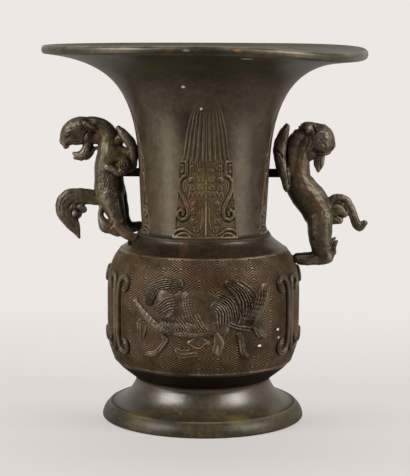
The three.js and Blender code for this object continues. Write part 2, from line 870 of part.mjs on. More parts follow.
const front = -90;
const leafBearings = [];
for (let k = 0; k < LEAF_COUNT; k++) {
  leafBearings.push(front + LEAF_TURN + (360 * k) / LEAF_COUNT);
}
const beastBearings = [front, front + 180];
const { degToRad } = THREE.MathUtils;
let neckCasting = joined([neck(), ...leafBearings.map((bearing) => leaf(degToRad(bearing)))]);
let bodyCasting = joined([body(), ...beastBearings.map((bearing) => beast(degToRad(bearing)))]);
for (const side of ["left", "right"]) {
  const turn = [0, 0, THREE.MathUtils.radToDeg(turnOf[side])];
  neckCasting = neckCasting.subtract(tenonBar(FIT_GAP).rotate(turn));
  bodyCasting = bodyCasting
    .subtract(pin(lions[side], 1, FIT_GAP).rotate(turn))
    .subtract(pin(lions[side], -1, FIT_GAP).rotate(turn));
}

vase.add(named("foot", foot(), PATINA));
vase.add(named("base_plate", basePlate(), JOINT_METAL));
vase.add(named("body", bodyCasting, PATINA));
vase.add(named("neck", neckCasting, PATINA));

for (const side of ["left", "right"]) {
  const handle = new THREE.Group();
  const lion = lions[side];
  handle.rotation.z = turnOf[side];
  handle.add(named(`${side}_lion`, handleCasting(lion), LION_PATINA));
  handle.add(named(`${side}_tenon`, tenon(), JOINT_METAL));
  handle.add(named(`${side}_paw_pin_a`, pin(lion, 1, 0), JOINT_METAL));
  handle.add(named(`${side}_paw_pin_b`, pin(lion, -1, 0), JOINT_METAL));
  vase.add(handle);
}

const scrollBearings = {
  front_left_scroll: front - SCROLL_ANGLE,
  front_right_scroll: front + SCROLL_ANGLE,
  back_left_scroll: front - BACK_SCROLL_ANGLE,
  back_right_scroll: front + BACK_SCROLL_ANGLE,
};
for (const [name, bearing] of Object.entries(scrollBearings)) {
  vase.add(named(name, scroll(degToRad(bearing)), SCROLL_PATINA));
}

export default vase;
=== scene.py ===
"""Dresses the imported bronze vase: its castings with their relief, the lion handles, the patina and a studio.

Every size is in millimetres in the vase's own frame until a mesh is written, which is in metres.
"""

import json
import logging
import math
from collections.abc import Callable
from dataclasses import dataclass, field, replace
from enum import Enum

import bpy
import numpy as np
from mathutils import Matrix, Vector

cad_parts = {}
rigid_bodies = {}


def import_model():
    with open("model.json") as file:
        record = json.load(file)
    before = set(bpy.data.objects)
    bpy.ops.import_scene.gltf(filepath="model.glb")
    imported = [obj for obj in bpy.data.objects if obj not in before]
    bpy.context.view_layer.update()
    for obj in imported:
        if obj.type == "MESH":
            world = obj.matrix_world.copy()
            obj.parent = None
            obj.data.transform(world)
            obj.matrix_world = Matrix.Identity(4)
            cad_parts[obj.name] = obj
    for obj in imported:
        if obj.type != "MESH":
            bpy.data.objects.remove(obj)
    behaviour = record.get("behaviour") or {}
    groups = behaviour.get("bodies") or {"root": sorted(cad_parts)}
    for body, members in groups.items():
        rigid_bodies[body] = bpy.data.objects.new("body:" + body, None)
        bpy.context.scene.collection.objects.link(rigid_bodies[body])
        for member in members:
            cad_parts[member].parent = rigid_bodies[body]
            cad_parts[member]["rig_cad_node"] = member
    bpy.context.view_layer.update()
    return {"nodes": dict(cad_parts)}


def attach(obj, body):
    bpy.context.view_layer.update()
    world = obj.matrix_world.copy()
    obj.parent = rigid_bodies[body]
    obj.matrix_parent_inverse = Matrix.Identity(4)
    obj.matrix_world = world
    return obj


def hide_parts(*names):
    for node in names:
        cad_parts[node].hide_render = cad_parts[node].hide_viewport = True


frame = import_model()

MM = 0.001
BODY = "root"
FRONT = -90.0

Colour = tuple[float, float, float]
Pair = tuple[float, float]
Path = tuple[Pair, ...]
Station = tuple[float, float, float, float]

log = logging.getLogger("bronze_vase")


# Mesh handling


class Channel(Enum):
    """Numbers kept on the meshes' vertices for the materials."""

    RELIEF = "relief"
    ORNAMENT = "ornament"
    FLECK = "fleck"


def deselect_all() -> None:
    """Leaves object mode with nothing selected."""
    if bpy.context.object and bpy.context.object.mode != "OBJECT":
        bpy.ops.object.mode_set(mode="OBJECT")
    bpy.ops.object.select_all(action="DESELECT")


def activate(piece: bpy.types.Object) -> None:
    """Makes a piece the only selected and active object."""
    deselect_all()
    piece.select_set(True)
    bpy.context.view_layer.objects.active = piece


def read_rows(items: object, name: str, width: int, kind: type = np.float32) -> np.ndarray:
    """Returns one property of mesh items, one row each.

    Args:
        items: the mesh's vertices, edges or normals.
        name: the property.
        width: numbers in each row.
        kind: the type that the numbers are read as.
    """
    flat = np.zeros(len(items) * width, kind)
    items.foreach_get(name, flat)
    return flat.reshape(-1, width)


def points_of(piece: bpy.types.Object) -> np.ndarray:
    """Returns a piece's vertices in millimetres, one row each."""
    return read_rows(piece.data.vertices, "co", 3).astype(float) / MM


def place_points(piece: bpy.types.Object, points: np.ndarray) -> None:
    """Writes a piece's vertices from millimetres."""
    piece.data.vertices.foreach_set("co", (points * MM).astype(np.float32).ravel())
    piece.data.update()


def normals_of(piece: bpy.types.Object) -> np.ndarray:
    """Returns a piece's vertex normals, one row each."""
    return read_rows(piece.data.vertex_normals, "vector", 3).astype(float)


def store(piece: bpy.types.Object, channel: Channel, values: np.ndarray) -> None:
    """Keeps one number per vertex on a piece, for its material to read."""
    attribute = piece.data.attributes.new(channel.value, "FLOAT", "POINT")
    attribute.data.foreach_set("value", values.astype(np.float32))


def add_mesh(name: str, points: list, edges: list, faces: list) -> bpy.types.Object:
    """Adds an object with a mesh of given points, edges and faces."""
    mesh = bpy.data.meshes.new(name)
    mesh.from_pydata(points, edges, faces)
    piece = bpy.data.objects.new(name, mesh)
    bpy.context.scene.collection.objects.link(piece)
    return piece


def edit_whole(piece: bpy.types.Object, *steps: Callable[[], object]) -> None:
    """Runs mesh tools in turn on all of a piece."""
    activate(piece)
    bpy.ops.object.mode_set(mode="EDIT")
    bpy.ops.mesh.select_all(action="SELECT")
    for step in steps:
        step()
    bpy.ops.object.mode_set(mode="OBJECT")


def shape_modifier(piece: bpy.types.Object, kind: str, **settings: object) -> None:
    """Adds a modifier to a piece and applies it.

    Args:
        piece: the object to shape.
        kind: the modifier's type.
        settings: its properties by name.
    """
    activate(piece)
    modifier = piece.modifiers.new(kind.lower(), kind)
    for name, value in settings.items():
        setattr(modifier, name, value)
    bpy.ops.object.modifier_apply(modifier=modifier.name)


def close_shell(piece: bpy.types.Object, merge: float = 1e-7) -> None:
    """Merges a shell's seams and turns its faces outwards.

    Args:
        piece: the closed shell.
        merge: distance in metres under which vertices become one.
    """
    edit_whole(
        piece,
        lambda: bpy.ops.mesh.remove_doubles(threshold=merge),
        lambda: bpy.ops.mesh.normals_make_consistent(inside=False),
    )


def shade(piece: bpy.types.Object, crease: float = 180.0) -> None:
    """Shades a piece smooth, with edges sharper than the crease angle kept."""
    activate(piece)
    if crease >= 180.0:
        bpy.ops.object.shade_smooth()
    else:
        bpy.ops.object.shade_smooth_by_angle(angle=math.radians(crease))


def join(name: str, pieces: list[bpy.types.Object]) -> bpy.types.Object:
    """Joins pieces into one object.

    Args:
        name: the joined object's name.
        pieces: the objects, of which the first one stays.

    Returns:
        The joined object.
    """
    deselect_all()
    for piece in pieces:
        piece.select_set(True)
    bpy.context.view_layer.objects.active = pieces[0]
    bpy.ops.object.join()
    whole = bpy.context.object
    whole.name = name
    whole.data.name = name
    return whole


def smooth_step(low: float, high: float, value: np.ndarray) -> np.ndarray:
    """Returns 0 below low, 1 above high, and an eased ramp between them."""
    t = np.clip((value - low) / (high - low), 0.0, 1.0)
    return t * t * (3.0 - 2.0 * t)


# Curves


def eased(path: Path | list, steps: int = 6) -> np.ndarray:
    """Rounds a path of any number of columns through its points.

    Args:
        path: the points to pass through.
        steps: samples for each span.

    Returns:
        The samples, one row each.
    """
    points = np.array(path, float)
    if len(points) < 3:
        t = np.linspace(0.0, 1.0, steps + 1)[:, None]
        return points[0] * (1.0 - t) + points[-1] * t
    padded = np.vstack([2 * points[0] - points[1], points, 2 * points[-1] - points[-2]])
    samples = []
    for k in range(len(points) - 1):
        a, b, c, d = padded[k : k + 4]
        for t in np.arange(steps) / steps:
            square, cube = (2 * a - 5 * b + 4 * c - d) * t**2, (3 * b - a - 3 * c + d) * t**3
            samples.append(0.5 * (2 * b + (c - a) * t + square + cube))
    samples.append(points[-1])
    return np.array(samples)


def bezier(a: Pair, b: Pair, c: Pair, d: Pair, steps: int = 40) -> np.ndarray:
    """Returns samples of a cubic curve with ends a and d."""
    t = np.linspace(0.0, 1.0, steps + 1)[:, None]
    a, b, c, d = (np.array(p, float) for p in (a, b, c, d))
    return (1 - t) ** 3 * a + 3 * (1 - t) ** 2 * t * b + 3 * (1 - t) * t**2 * c + t**3 * d


def quadratic(a: Pair, b: Pair, c: Pair, steps: int = 20) -> np.ndarray:
    """Returns samples of a quadratic curve with ends a and c."""
    t = np.linspace(0.0, 1.0, steps + 1)[:, None]
    a, b, c = (np.array(p, float) for p in (a, b, c))
    return (1 - t) ** 2 * a + 2 * (1 - t) * t * b + t**2 * c


class Outline:
    """A turned outline of (radius, height) points, read by the length along it."""

    def __init__(self, *pieces: np.ndarray) -> None:
        """Strings the pieces together, dropping repeated points."""
        points = np.vstack(pieces)
        step = np.linalg.norm(np.diff(points, axis=0), axis=1)
        keep = np.concatenate([[True], step > 1e-6])
        self.points = points[keep]
        step = np.linalg.norm(np.diff(self.points, axis=0), axis=1)
        self.along = np.concatenate([[0.0], np.cumsum(step)])

    def at(self, along: np.ndarray) -> np.ndarray:
        """Returns the (radius, height) rows at lengths along the outline."""
        columns = [np.interp(along, self.along, self.points[:, k]) for k in (0, 1)]
        return np.column_stack(columns)

    def outward(self, along: np.ndarray, reach: float = 0.6) -> np.ndarray:
        """Returns unit (radius, height) normals, right of the way the outline runs."""
        way = self.at(along + reach) - self.at(along - reach)
        way /= np.maximum(np.linalg.norm(way, axis=1), 1e-9)[:, None]
        return np.column_stack([way[:, 1], -way[:, 0]])

    def length_at(self, height: float | np.ndarray) -> float | np.ndarray:
        """Returns the lengths along a rising outline at heights."""
        return np.interp(height, self.points[:, 1], self.along)

    def radius_at(self, height: np.ndarray) -> np.ndarray:
        """Returns the radii of a rising outline at heights."""
        return np.interp(height, self.points[:, 1], self.points[:, 0])


# Carving


@dataclass(frozen=True)
class Stroke:
    """One carved line: a path with a half width and a height, narrowing at its ends if it tapers."""

    path: Path
    half_width: float = 0.9
    height: float = 0.8
    taper: float = 0.35


class Tooling(Enum):
    """How the face of a raised form is worked over."""

    PLAIN = "plain"
    ALONG = "along"
    ACROSS = "across"
    SCALES = "scales"


@dataclass(frozen=True)
class Mass:
    """A raised form: a path with a half width and a height, worked over at one pitch."""

    half_width: float
    height: float
    path: Path
    tooling: Tooling = Tooling.PLAIN
    pitch: float = 2.0
    depth: float = 0.55
    taper: float = 0.3

    def worked(self, side: np.ndarray, along: np.ndarray) -> np.ndarray:
        """Returns how deep the tooling cuts, from 0 on its ridges to 1 in its grooves."""
        if self.tooling is Tooling.PLAIN:
            return np.zeros(len(side))
        if self.tooling is Tooling.ALONG:
            wave = np.cos(2 * np.pi * side / self.pitch)
        elif self.tooling is Tooling.ACROSS:
            wave = np.cos(2 * np.pi * (along + 0.8 * np.abs(side)) / self.pitch)
        else:
            wave = np.cos(np.pi * (along + side) / self.pitch) * np.cos(np.pi * (along - side) / self.pitch)
        return 0.5 - 0.5 * wave


@dataclass(frozen=True)
class Fan:
    """Strands laid side by side from a first path to a last one, with one half width and height."""

    count: int
    half_width: float
    height: float
    first: Path
    last: Path

    def strands(self) -> list[Stroke]:
        """Returns the fan's strands."""
        steps = 5 * max(len(self.first), len(self.last))
        ends = []
        for path in (self.first, self.last):
            line = eased(path)
            share = np.linspace(0.0, 1.0, len(line))
            places = np.linspace(0.0, 1.0, steps)
            ends.append(np.column_stack([np.interp(places, share, line[:, k]) for k in (0, 1)]))
        made = []
        for k in range(self.count):
            part = k / max(self.count - 1, 1)
            path = ends[0] * (1.0 - part) + ends[1] * part
            made.append(Stroke(tuple(map(tuple, path)), self.half_width, self.height, 0.5))
        return made


def measure_path(spots: np.ndarray, line: np.ndarray) -> tuple[np.ndarray, np.ndarray]:
    """Measures places against a line.

    Args:
        spots: one (across, up) row for each place.
        line: the line's points.

    Returns:
        The signed distance from the line, and the length along it, of each place.
    """
    best = np.full(len(spots), np.inf)
    side, along = np.zeros(len(spots)), np.zeros(len(spots))
    done = 0.0
    for start, end in zip(line[:-1], line[1:]):
        way = end - start
        length = max(float(np.linalg.norm(way)), 1e-9)
        t = np.clip((spots - start) @ way / length**2, 0.0, 1.0)
        off = spots - start - t[:, None] * way
        gap = np.linalg.norm(off, axis=1)
        closer = gap < best
        best[closer] = gap[closer]
        signed = np.where(way[0] * off[:, 1] >= way[1] * off[:, 0], gap, -gap)
        side[closer] = signed[closer]
        along[closer] = (done + t * length)[closer]
        done += length
    return side, along


def near_path(where: np.ndarray, line: np.ndarray, reach: float) -> np.ndarray:
    """Returns the numbers of the places within reach of a line's box."""
    low, top = line.min(0) - reach, line.max(0) + reach
    return np.flatnonzero(np.all((where > low) & (where < top), axis=1))


def end_width(along: np.ndarray, total: float, taper: float) -> np.ndarray:
    """Returns the share of full width along a line that narrows at both ends."""
    ends = 2.0 * np.minimum(along, total - along) / max(total, 1e-9)
    return 1.0 - taper * (1.0 - smooth_step(0.0, 0.7, ends))


def measure_near(where: np.ndarray, line: np.ndarray, reach: float, taper: float) -> tuple[np.ndarray, ...]:
    """Measures the places near a line.

    Args:
        where: one (across, up) row for each place.
        line: the line's points.
        reach: how far from the line's box a place still counts.
        taper: how much the line narrows at its ends.

    Returns:
        The near places' numbers, their distances from the line and along it, and its share of full width.
    """
    near = near_path(where, line, reach)
    total = float(np.linalg.norm(np.diff(line, axis=0), axis=1).sum())
    side, along = measure_path(where[near], line)
    return near, side, along, end_width(along, total, taper)


def stroke_heights(where: np.ndarray, strokes: list[Stroke]) -> np.ndarray:
    """Returns how high the highest stroke stands at (across, up) rows, zero away from every stroke."""
    high = np.zeros(len(where))
    for stroke in strokes:
        line = eased(stroke.path) if len(stroke.path) < 12 else np.array(stroke.path)
        near, side, _, narrowed = measure_near(where, line, stroke.half_width * 1.05, stroke.taper)
        share = np.clip(1.0 - (side / (stroke.half_width * narrowed)) ** 2, 0.0, 1.0)
        high[near] = np.maximum(high[near], stroke.height * np.sqrt(share))
    return high


def mass_heights(where: np.ndarray, masses: tuple[Mass, ...]) -> np.ndarray:
    """Returns how high the highest raised form stands at (across, up) rows, zero away from every form."""
    high = np.zeros(len(where))
    for mass in masses:
        near, side, along, narrowed = measure_near(where, eased(mass.path), mass.half_width, mass.taper)
        dome = np.clip(1.0 - np.abs(side / (mass.half_width * narrowed)) ** 2.2, 0.0, 1.0)
        high[near] = np.maximum(high[near], dome * (mass.height - mass.depth * mass.worked(side, along)))
    return high


def spiral(centre: Pair, radius: float, turns: float, start: float, way: int = 1) -> Path:
    """Returns the path of a flat spiral that winds in to its centre.

    Args:
        centre: its middle.
        radius: its outer radius.
        turns: how often it winds.
        start: the angle of its outer end, in degrees.
        way: 1 to wind anticlockwise, -1 for clockwise.
    """
    count = max(6, int(turns * 10))
    points = []
    for k in range(count + 1):
        share = k / count
        angle = math.radians(start) + way * 2 * math.pi * turns * share
        reach = radius * (1.0 - 0.86 * share)
        points.append((centre[0] + reach * math.cos(angle), centre[1] + reach * math.sin(angle)))
    return tuple(points)


def neighbour_mean(values: np.ndarray, edges: np.ndarray) -> np.ndarray:
    """Returns the mean of each vertex's neighbours, for rows of any width."""
    count = len(values)
    ends = np.concatenate([edges[:, 0], edges[:, 1]])
    others = np.concatenate([edges[:, 1], edges[:, 0]])
    degree = np.maximum(np.bincount(ends, minlength=count), 1)
    columns = [np.bincount(ends, values[others, k], minlength=count) for k in range(values.shape[1])]
    return np.column_stack(columns) / degree[:, None]


def hollowness(piece: bpy.types.Object, rounds: int, depth: float) -> np.ndarray:
    """Tells hollows from high points, for grime and painted shade in hollows, and for rubbing and painted
    sheen on high points.

    Args:
        piece: the finished mesh.
        rounds: how widely its surface is averaged.
        depth: the departure in millimetres that counts as fully hollow or high.

    Returns:
        0 in hollows, 0.5 on even ground and 1 on high points, for each vertex.
    """
    points, edges = points_of(piece), read_rows(piece.data.edges, "vertices", 2, np.int32)
    even = points
    for _ in range(rounds):
        even = neighbour_mean(even, edges)
    stand = np.sum((points - even) * normals_of(piece), axis=1)
    soft = neighbour_mean(stand[:, None], edges)[:, 0]
    return np.clip(0.5 + 0.5 * (0.5 * stand + 0.5 * soft) / depth, 0.0, 1.0)


# Patina


def new_group(
    name: str, colours: tuple[str, ...], numbers: dict[str, float], results: dict[str, str]
) -> bpy.types.NodeTree:
    """Adds a node group with its sockets.

    Args:
        name: the group's name.
        colours: its colour inputs.
        numbers: its number inputs with their defaults.
        results: its outputs with their kinds, Float or Color.

    Returns:
        The group, still without nodes.
    """
    group = bpy.data.node_groups.new(name, "ShaderNodeTree")
    for label in colours:
        group.interface.new_socket(name=label, in_out="INPUT", socket_type="NodeSocketColor")
    for label, value in numbers.items():
        socket = group.interface.new_socket(name=label, in_out="INPUT", socket_type="NodeSocketFloat")
        socket.default_value = value
    for label, kind in results.items():
        group.interface.new_socket(name=label, in_out="OUTPUT", socket_type=f"NodeSocket{kind}")
    return group


class NodeBoard:
    """A short way to lay out nodes and links in one node tree."""

    def __init__(self, tree: bpy.types.NodeTree) -> None:
        """Keeps the tree that nodes are added to."""
        self.tree = tree

    def add(self, kind: str, inputs: dict | None = None, **settings: object) -> bpy.types.Node:
        """Adds a node.

        Args:
            kind: the node's type, without its ShaderNode prefix.
            inputs: socket names or numbers with values or output sockets.
            settings: the node's own properties.

        Returns:
            The new node.
        """
        node = self.tree.nodes.new(kind if kind.startswith("NodeGroup") else f"ShaderNode{kind}")
        for name, value in settings.items():
            setattr(node, name, value)
        for name, value in (inputs or {}).items():
            self.feed(node.inputs[name], value)
        return node

    def feed(self, socket: bpy.types.NodeSocket, value: object) -> None:
        """Links an output to a socket, or sets the socket's value."""
        if isinstance(value, bpy.types.NodeSocket):
            self.tree.links.new(value, socket)
        elif isinstance(value, tuple) and len(value) == 3 and socket.type == "RGBA":
            socket.default_value = (*value, 1.0)
        else:
            socket.default_value = value

    def ramp(self, factor: bpy.types.NodeSocket, low: float, high: float) -> bpy.types.NodeSocket:
        """Returns an eased ramp of a factor from 0 at low to 1 at high, which may lie under low."""
        node = self.add("MapRange", {0: factor, 1: low, 2: high}, interpolation_type="SMOOTHSTEP")
        return node.outputs[0]

    def math(self, operation: str, a: object, b: object) -> bpy.types.NodeSocket:
        """Returns the result of a maths node."""
        return self.add("Math", {0: a, 1: b}, operation=operation).outputs[0]

    def product(self, *factors: object) -> object:
        """Returns the product of two or more factors."""
        whole = factors[0]
        for factor in factors[1:]:
            whole = self.math("MULTIPLY", whole, factor)
        return whole

    def scaled(self, value: object, scale: float, start: object) -> bpy.types.NodeSocket:
        """Returns a value times a scale, plus a start."""
        return self.add("Math", {0: value, 1: scale, 2: start}, operation="MULTIPLY_ADD").outputs[0]

    def channel(self, channel: Channel) -> bpy.types.NodeSocket:
        """Returns a number that is kept on the mesh's vertices."""
        return self.add("Attribute", attribute_name=channel.value).outputs["Fac"]

    def place(self) -> bpy.types.NodeSocket:
        """Returns the place in the object's own frame, in metres."""
        return self.add("TexCoord").outputs["Object"]

    def mix(self, factor: object, a: object, b: object, blend: str = "MIX") -> bpy.types.NodeSocket:
        """Returns two colours mixed by a factor."""
        node = self.add("Mix", data_type="RGBA", blend_type=blend)
        for place, value in ((0, factor), (6, a), (7, b)):
            self.feed(node.inputs[place], value)
        return node.outputs[2]

    def noise(
        self, where: bpy.types.NodeSocket, scale: float, detail: float, rough: float = 0.55
    ) -> bpy.types.NodeSocket:
        """Returns a noise value at a place, by its scale per metre."""
        inputs = {"Vector": where, "Scale": scale, "Detail": detail, "Roughness": rough}
        return self.add("TexNoise", inputs).outputs["Fac"]


def fresh_board(owner: bpy.types.Material | bpy.types.World) -> NodeBoard:
    """Returns an empty board on a material's or a world's own nodes."""
    owner.use_nodes = True
    owner.node_tree.nodes.clear()
    return NodeBoard(owner.node_tree)


def mottle_group() -> bpy.types.NodeTree:
    """Builds the node group for cloudy patina: a colour, a roughness and a fine cast surface."""
    group = new_group(
        "cloudy_patina",
        ("Ground", "Shade", "Bloom", "Rust"),
        {"Scale": 1.0, "Bloom Amount": 0.3, "Rust Amount": 0.3, "Roughness": 0.4},
        {"Color": "Color", "Roughness": "Float", "Height": "Float"},
    )
    board = NodeBoard(group)
    given = board.add("NodeGroupInput").outputs
    scaled = board.add("VectorMath", {0: board.place()}, operation="SCALE")
    board.feed(scaled.inputs["Scale"], given["Scale"])
    where = scaled.outputs[0]
    clouds = board.noise(where, 26.0, 6.0, 0.66)
    level = board.add("Mapping", {"Vector": where, "Location": (0.31, 0.12, 0.05), "Scale": (1.0, 1.0, 2.6)})
    runs = board.noise(level.outputs[0], 60.0, 5.0, 0.65)
    apart = board.add("Mapping", {"Vector": where, "Location": (0.83, 0.47, 0.29)}).outputs[0]
    rusty = board.noise(apart, 75.0, 4.0, 0.62)
    grain = board.noise(where, 340.0, 4.0, 0.66)
    pits = board.noise(where, 1500.0, 2.0, 0.6)
    shaded = board.mix(board.ramp(clouds, 0.38, 0.62), given["Shade"], given["Ground"])
    bloom = board.product(board.ramp(runs, 0.48, 0.7), given["Bloom Amount"])
    bloomed = board.mix(bloom, shaded, given["Bloom"])
    rust = board.product(board.ramp(rusty, 0.54, 0.7), given["Rust Amount"])
    rusted = board.mix(rust, bloomed, given["Rust"])
    speckle = board.add("MapRange", {0: grain, 1: 0.25, 2: 0.75, 3: 0.45, 4: 1.55}).outputs[0]
    toned = board.add("HueSaturation", {"Value": speckle, "Color": rusted}).outputs[0]
    dull = board.math("ADD", given["Roughness"], board.scaled(clouds, 0.24, -0.12))
    swell = board.product(board.noise(where, 95.0, 3.0, 0.5), 1.6)
    fine = board.scaled(pits, 0.35, board.scaled(grain, 0.5, swell))
    board.add("NodeGroupOutput", {"Color": toned, "Roughness": dull, "Height": fine})
    return group


def wear_and_shade_group() -> bpy.types.NodeTree:
    """Builds the node group that darkens hollows and lightens high points: grime and rubbed wear, and also
    painted shade and painted highlights where a piece sets its relief low or high for them.
    """
    group = new_group(
        "grime_shade_rubbing_and_sheen",
        ("Color", "Grime And Shade", "Rubbed And Sheen"),
        {"Relief": 0.5, "Grime And Shade Amount": 0.8, "Rub And Sheen Amount": 0.6, "Roughness": 0.4, "Shine": 0.5},
        {"Color": "Color", "Roughness": "Float", "Shine": "Float"},
    )
    board = NodeBoard(group)
    given = board.add("NodeGroupInput").outputs
    patchy = board.ramp(board.noise(board.place(), 60.0, 4.0), 0.36, 0.66)
    grime_and_shade = board.product(board.ramp(given["Relief"], 0.46, 0.08), given["Grime And Shade Amount"])
    rub_and_sheen = board.product(board.ramp(given["Relief"], 0.56, 0.95), patchy, given["Rub And Sheen Amount"])
    dirtied_and_shaded = board.mix(grime_and_shade, given["Color"], given["Grime And Shade"])
    rubbed_and_sheen = board.mix(rub_and_sheen, dirtied_and_shaded, given["Rubbed And Sheen"])
    smoother = board.scaled(rub_and_sheen, -0.14, board.scaled(grime_and_shade, 0.3, given["Roughness"]))
    shine = board.product(board.scaled(grime_and_shade, -0.95, 1.0), given["Shine"])
    board.add("NodeGroupOutput", {"Color": rubbed_and_sheen, "Roughness": smoother, "Shine": shine})
    return group


# Heights between which the neck's patina turns into the mouth's

MOUTH_FROM = 200.0
MOUTH_FULL = 229.0


def darker(colour: Colour, share: float) -> Colour:
    """Returns a colour with a share of its light."""
    return tuple(share * c for c in colour)


@dataclass(frozen=True)
class Mark:
    """A chip or stain in the patina: its middle and half sizes in millimetres, and how it looks."""

    place: tuple[float, float, float]
    size: tuple[float, float, float]
    colour: Colour
    strength: float = 1.0
    core: float = 0.6

    def laid_on(self, board: NodeBoard, colour: object) -> bpy.types.NodeSocket:
        """Returns a colour with the mark mixed into it."""
        middle = tuple(MM * c for c in self.place)
        reach = tuple(MM * c for c in self.size)
        offset = board.add("VectorMath", {0: board.place(), 1: middle}, operation="SUBTRACT").outputs[0]
        share = board.add("VectorMath", {0: offset, 1: reach}, operation="DIVIDE").outputs[0]
        away = board.add("VectorMath", {0: share}, operation="LENGTH").outputs["Value"]
        near = board.ramp(away, 1.0, self.core)
        return board.mix(board.product(near, self.strength), colour, self.colour)


@dataclass(frozen=True)
class Patina:
    """One bronze finish: its colours in linear light, its shine, how it wears, and the painted shade and
    highlights laid on through its wear.
    """

    name: str
    slot: str
    ground: Colour
    shade: Colour
    bloom: Colour
    rust: Colour = (0.1, 0.042, 0.014)
    # Grime in hollows, also painted shade where a piece's relief is set low for it.
    grime_and_shade: Colour = (0.008, 0.0052, 0.003)
    # Rubbed metal on high points, also painted highlights on lit ridges, edges and strands.
    rubbed_and_sheen: Colour = (0.2, 0.16, 0.115)
    fleck: Colour = (0.62, 0.6, 0.55)
    ornament: Colour | None = None
    mouth: Colour | None = None
    roughness: float = 0.4
    ornament_roughness: float = 0.5
    shine: float = 0.5
    ornament_shine: float = 0.3
    metallic: float = 0.2
    gleam: Colour = (1.0, 0.88, 0.7)
    scale: float = 1.0
    bloom_amount: float = 0.35
    rust_amount: float = 0.3
    grime_and_shade_amount: float = 0.85
    rub_and_sheen_amount: float = 0.5
    cast_depth: float = 0.00021
    cast_strength: float = 0.6
    marks: tuple[Mark, ...] = ()

    def zoned(self, board: NodeBoard, plain: float, ornament: float) -> object:
        """Returns a number, or a socket where it changes from plain metal to the ornament."""
        if not self.ornament:
            return plain
        return board.scaled(board.channel(Channel.ORNAMENT), ornament - plain, plain)

    def grounds(self, board: NodeBoard) -> tuple[object, object]:
        """Returns the ground and shade colours, or sockets where they change over the piece."""
        ground: object = self.ground
        shade_colour: object = self.shade
        if self.ornament:
            zone = board.channel(Channel.ORNAMENT)
            ground = board.mix(zone, self.ground, self.ornament)
            shade_colour = board.mix(zone, self.shade, darker(self.ornament, 0.62))
        if self.mouth:
            height = board.add("SeparateXYZ", {0: board.place()}).outputs["Z"]
            up = board.ramp(height, MOUTH_FROM * MM, MOUTH_FULL * MM)
            ground = board.mix(up, ground, self.mouth)
            shade_colour = board.mix(up, shade_colour, darker(self.mouth, 0.55))
        return ground, shade_colour

    def material(self, groups: dict[str, bpy.types.NodeTree]) -> bpy.types.Material:
        """Builds the finish's material.

        Args:
            groups: the shared node groups by name.

        Returns:
            The material.
        """
        made = bpy.data.materials.new(self.name)
        board = fresh_board(made)
        ground, shade_colour = self.grounds(board)
        cloudy = board.add(
            "Group",
            node_tree=groups["cloudy"],
            inputs={
                "Ground": ground,
                "Shade": shade_colour,
                "Bloom": self.bloom,
                "Rust": self.rust,
                "Scale": self.scale,
                "Bloom Amount": self.bloom_amount,
                "Rust Amount": self.rust_amount,
                "Roughness": self.zoned(board, self.roughness, self.ornament_roughness),
            },
        )
        worn_and_shaded = board.add(
            "Group",
            node_tree=groups["worn_and_shaded"],
            inputs={
                "Color": cloudy.outputs["Color"],
                "Grime And Shade": self.grime_and_shade,
                "Rubbed And Sheen": self.rubbed_and_sheen,
                "Relief": board.channel(Channel.RELIEF),
                "Grime And Shade Amount": self.grime_and_shade_amount,
                "Rub And Sheen Amount": self.rub_and_sheen_amount,
                "Roughness": cloudy.outputs["Roughness"],
                "Shine": self.zoned(board, self.shine, self.ornament_shine),
            },
        )
        colour = board.mix(board.channel(Channel.FLECK), worn_and_shaded.outputs["Color"], self.fleck)
        for mark in self.marks:
            colour = mark.laid_on(board, colour)
        cast = {"Strength": self.cast_strength, "Distance": self.cast_depth}
        bump = board.add("Bump", {"Height": cloudy.outputs["Height"], **cast})
        skin = board.add(
            "BsdfPrincipled",
            {
                "Base Color": colour,
                "Roughness": worn_and_shaded.outputs["Roughness"],
                "Normal": bump.outputs[0],
                "Metallic": self.metallic,
                "Specular IOR Level": worn_and_shaded.outputs["Shine"],
                "Specular Tint": self.gleam,
            },
        )
        board.add("OutputMaterial", {"Surface": skin.outputs[0]})
        return made


PALE_CHIP: Colour = (0.62, 0.6, 0.55)
RUST_CHIP: Colour = (0.2, 0.09, 0.025)
# A dark patch colour, laid under the front of the mouth and on the flare's front left and right.
DARK_PATCH: Colour = (0.014, 0.01, 0.006)
OLIVE_STAIN: Colour = (0.05, 0.046, 0.012)

NECK_MARKS: tuple[Mark, ...] = (
    Mark((-2.4, -61.0, 222.0), (17.0, 24.0, 6.5), DARK_PATCH, 0.65, 0.0),
    Mark((-43.0, -32.0, 213.0), (7.0, 16.0, 14.0), DARK_PATCH, 0.6, 0.0),
    Mark((45.0, -41.0, 221.0), (15.0, 24.0, 9.0), DARK_PATCH, 0.55, 0.0),
    Mark((-33.0, -62.0, 226.0), (15.0, 24.0, 8.0), OLIVE_STAIN, 0.7, 0.0),
    Mark((13.0, -72.0, 229.0), (18.0, 24.0, 5.0), OLIVE_STAIN, 0.6, 0.0),
    # Broad pale patches under the mouth's left and right ends: painted light from the table's bounce.
    Mark((-86.0, -20.0, 229.0), (24.0, 60.0, 6.5), (0.15, 0.135, 0.112), 0.6, 0.0),
    Mark((92.0, -20.0, 231.0), (26.0, 60.0, 6.5), (0.15, 0.135, 0.112), 0.6, 0.0),
    Mark((-12.8, -54.5, 214.5), (1.45, 4.0, 1.0), PALE_CHIP),
    Mark((18.6, -99.0, 237.5), (3.0, 8.0, 1.2), RUST_CHIP, 0.8),
    Mark((24.4, -90.0, 232.2), (4.5, 10.0, 0.7), (0.36, 0.33, 0.25), 0.8),
    Mark((-10.5, -99.0, 237.2), (2.8, 8.0, 1.0), (0.2, 0.19, 0.14), 0.7),
)
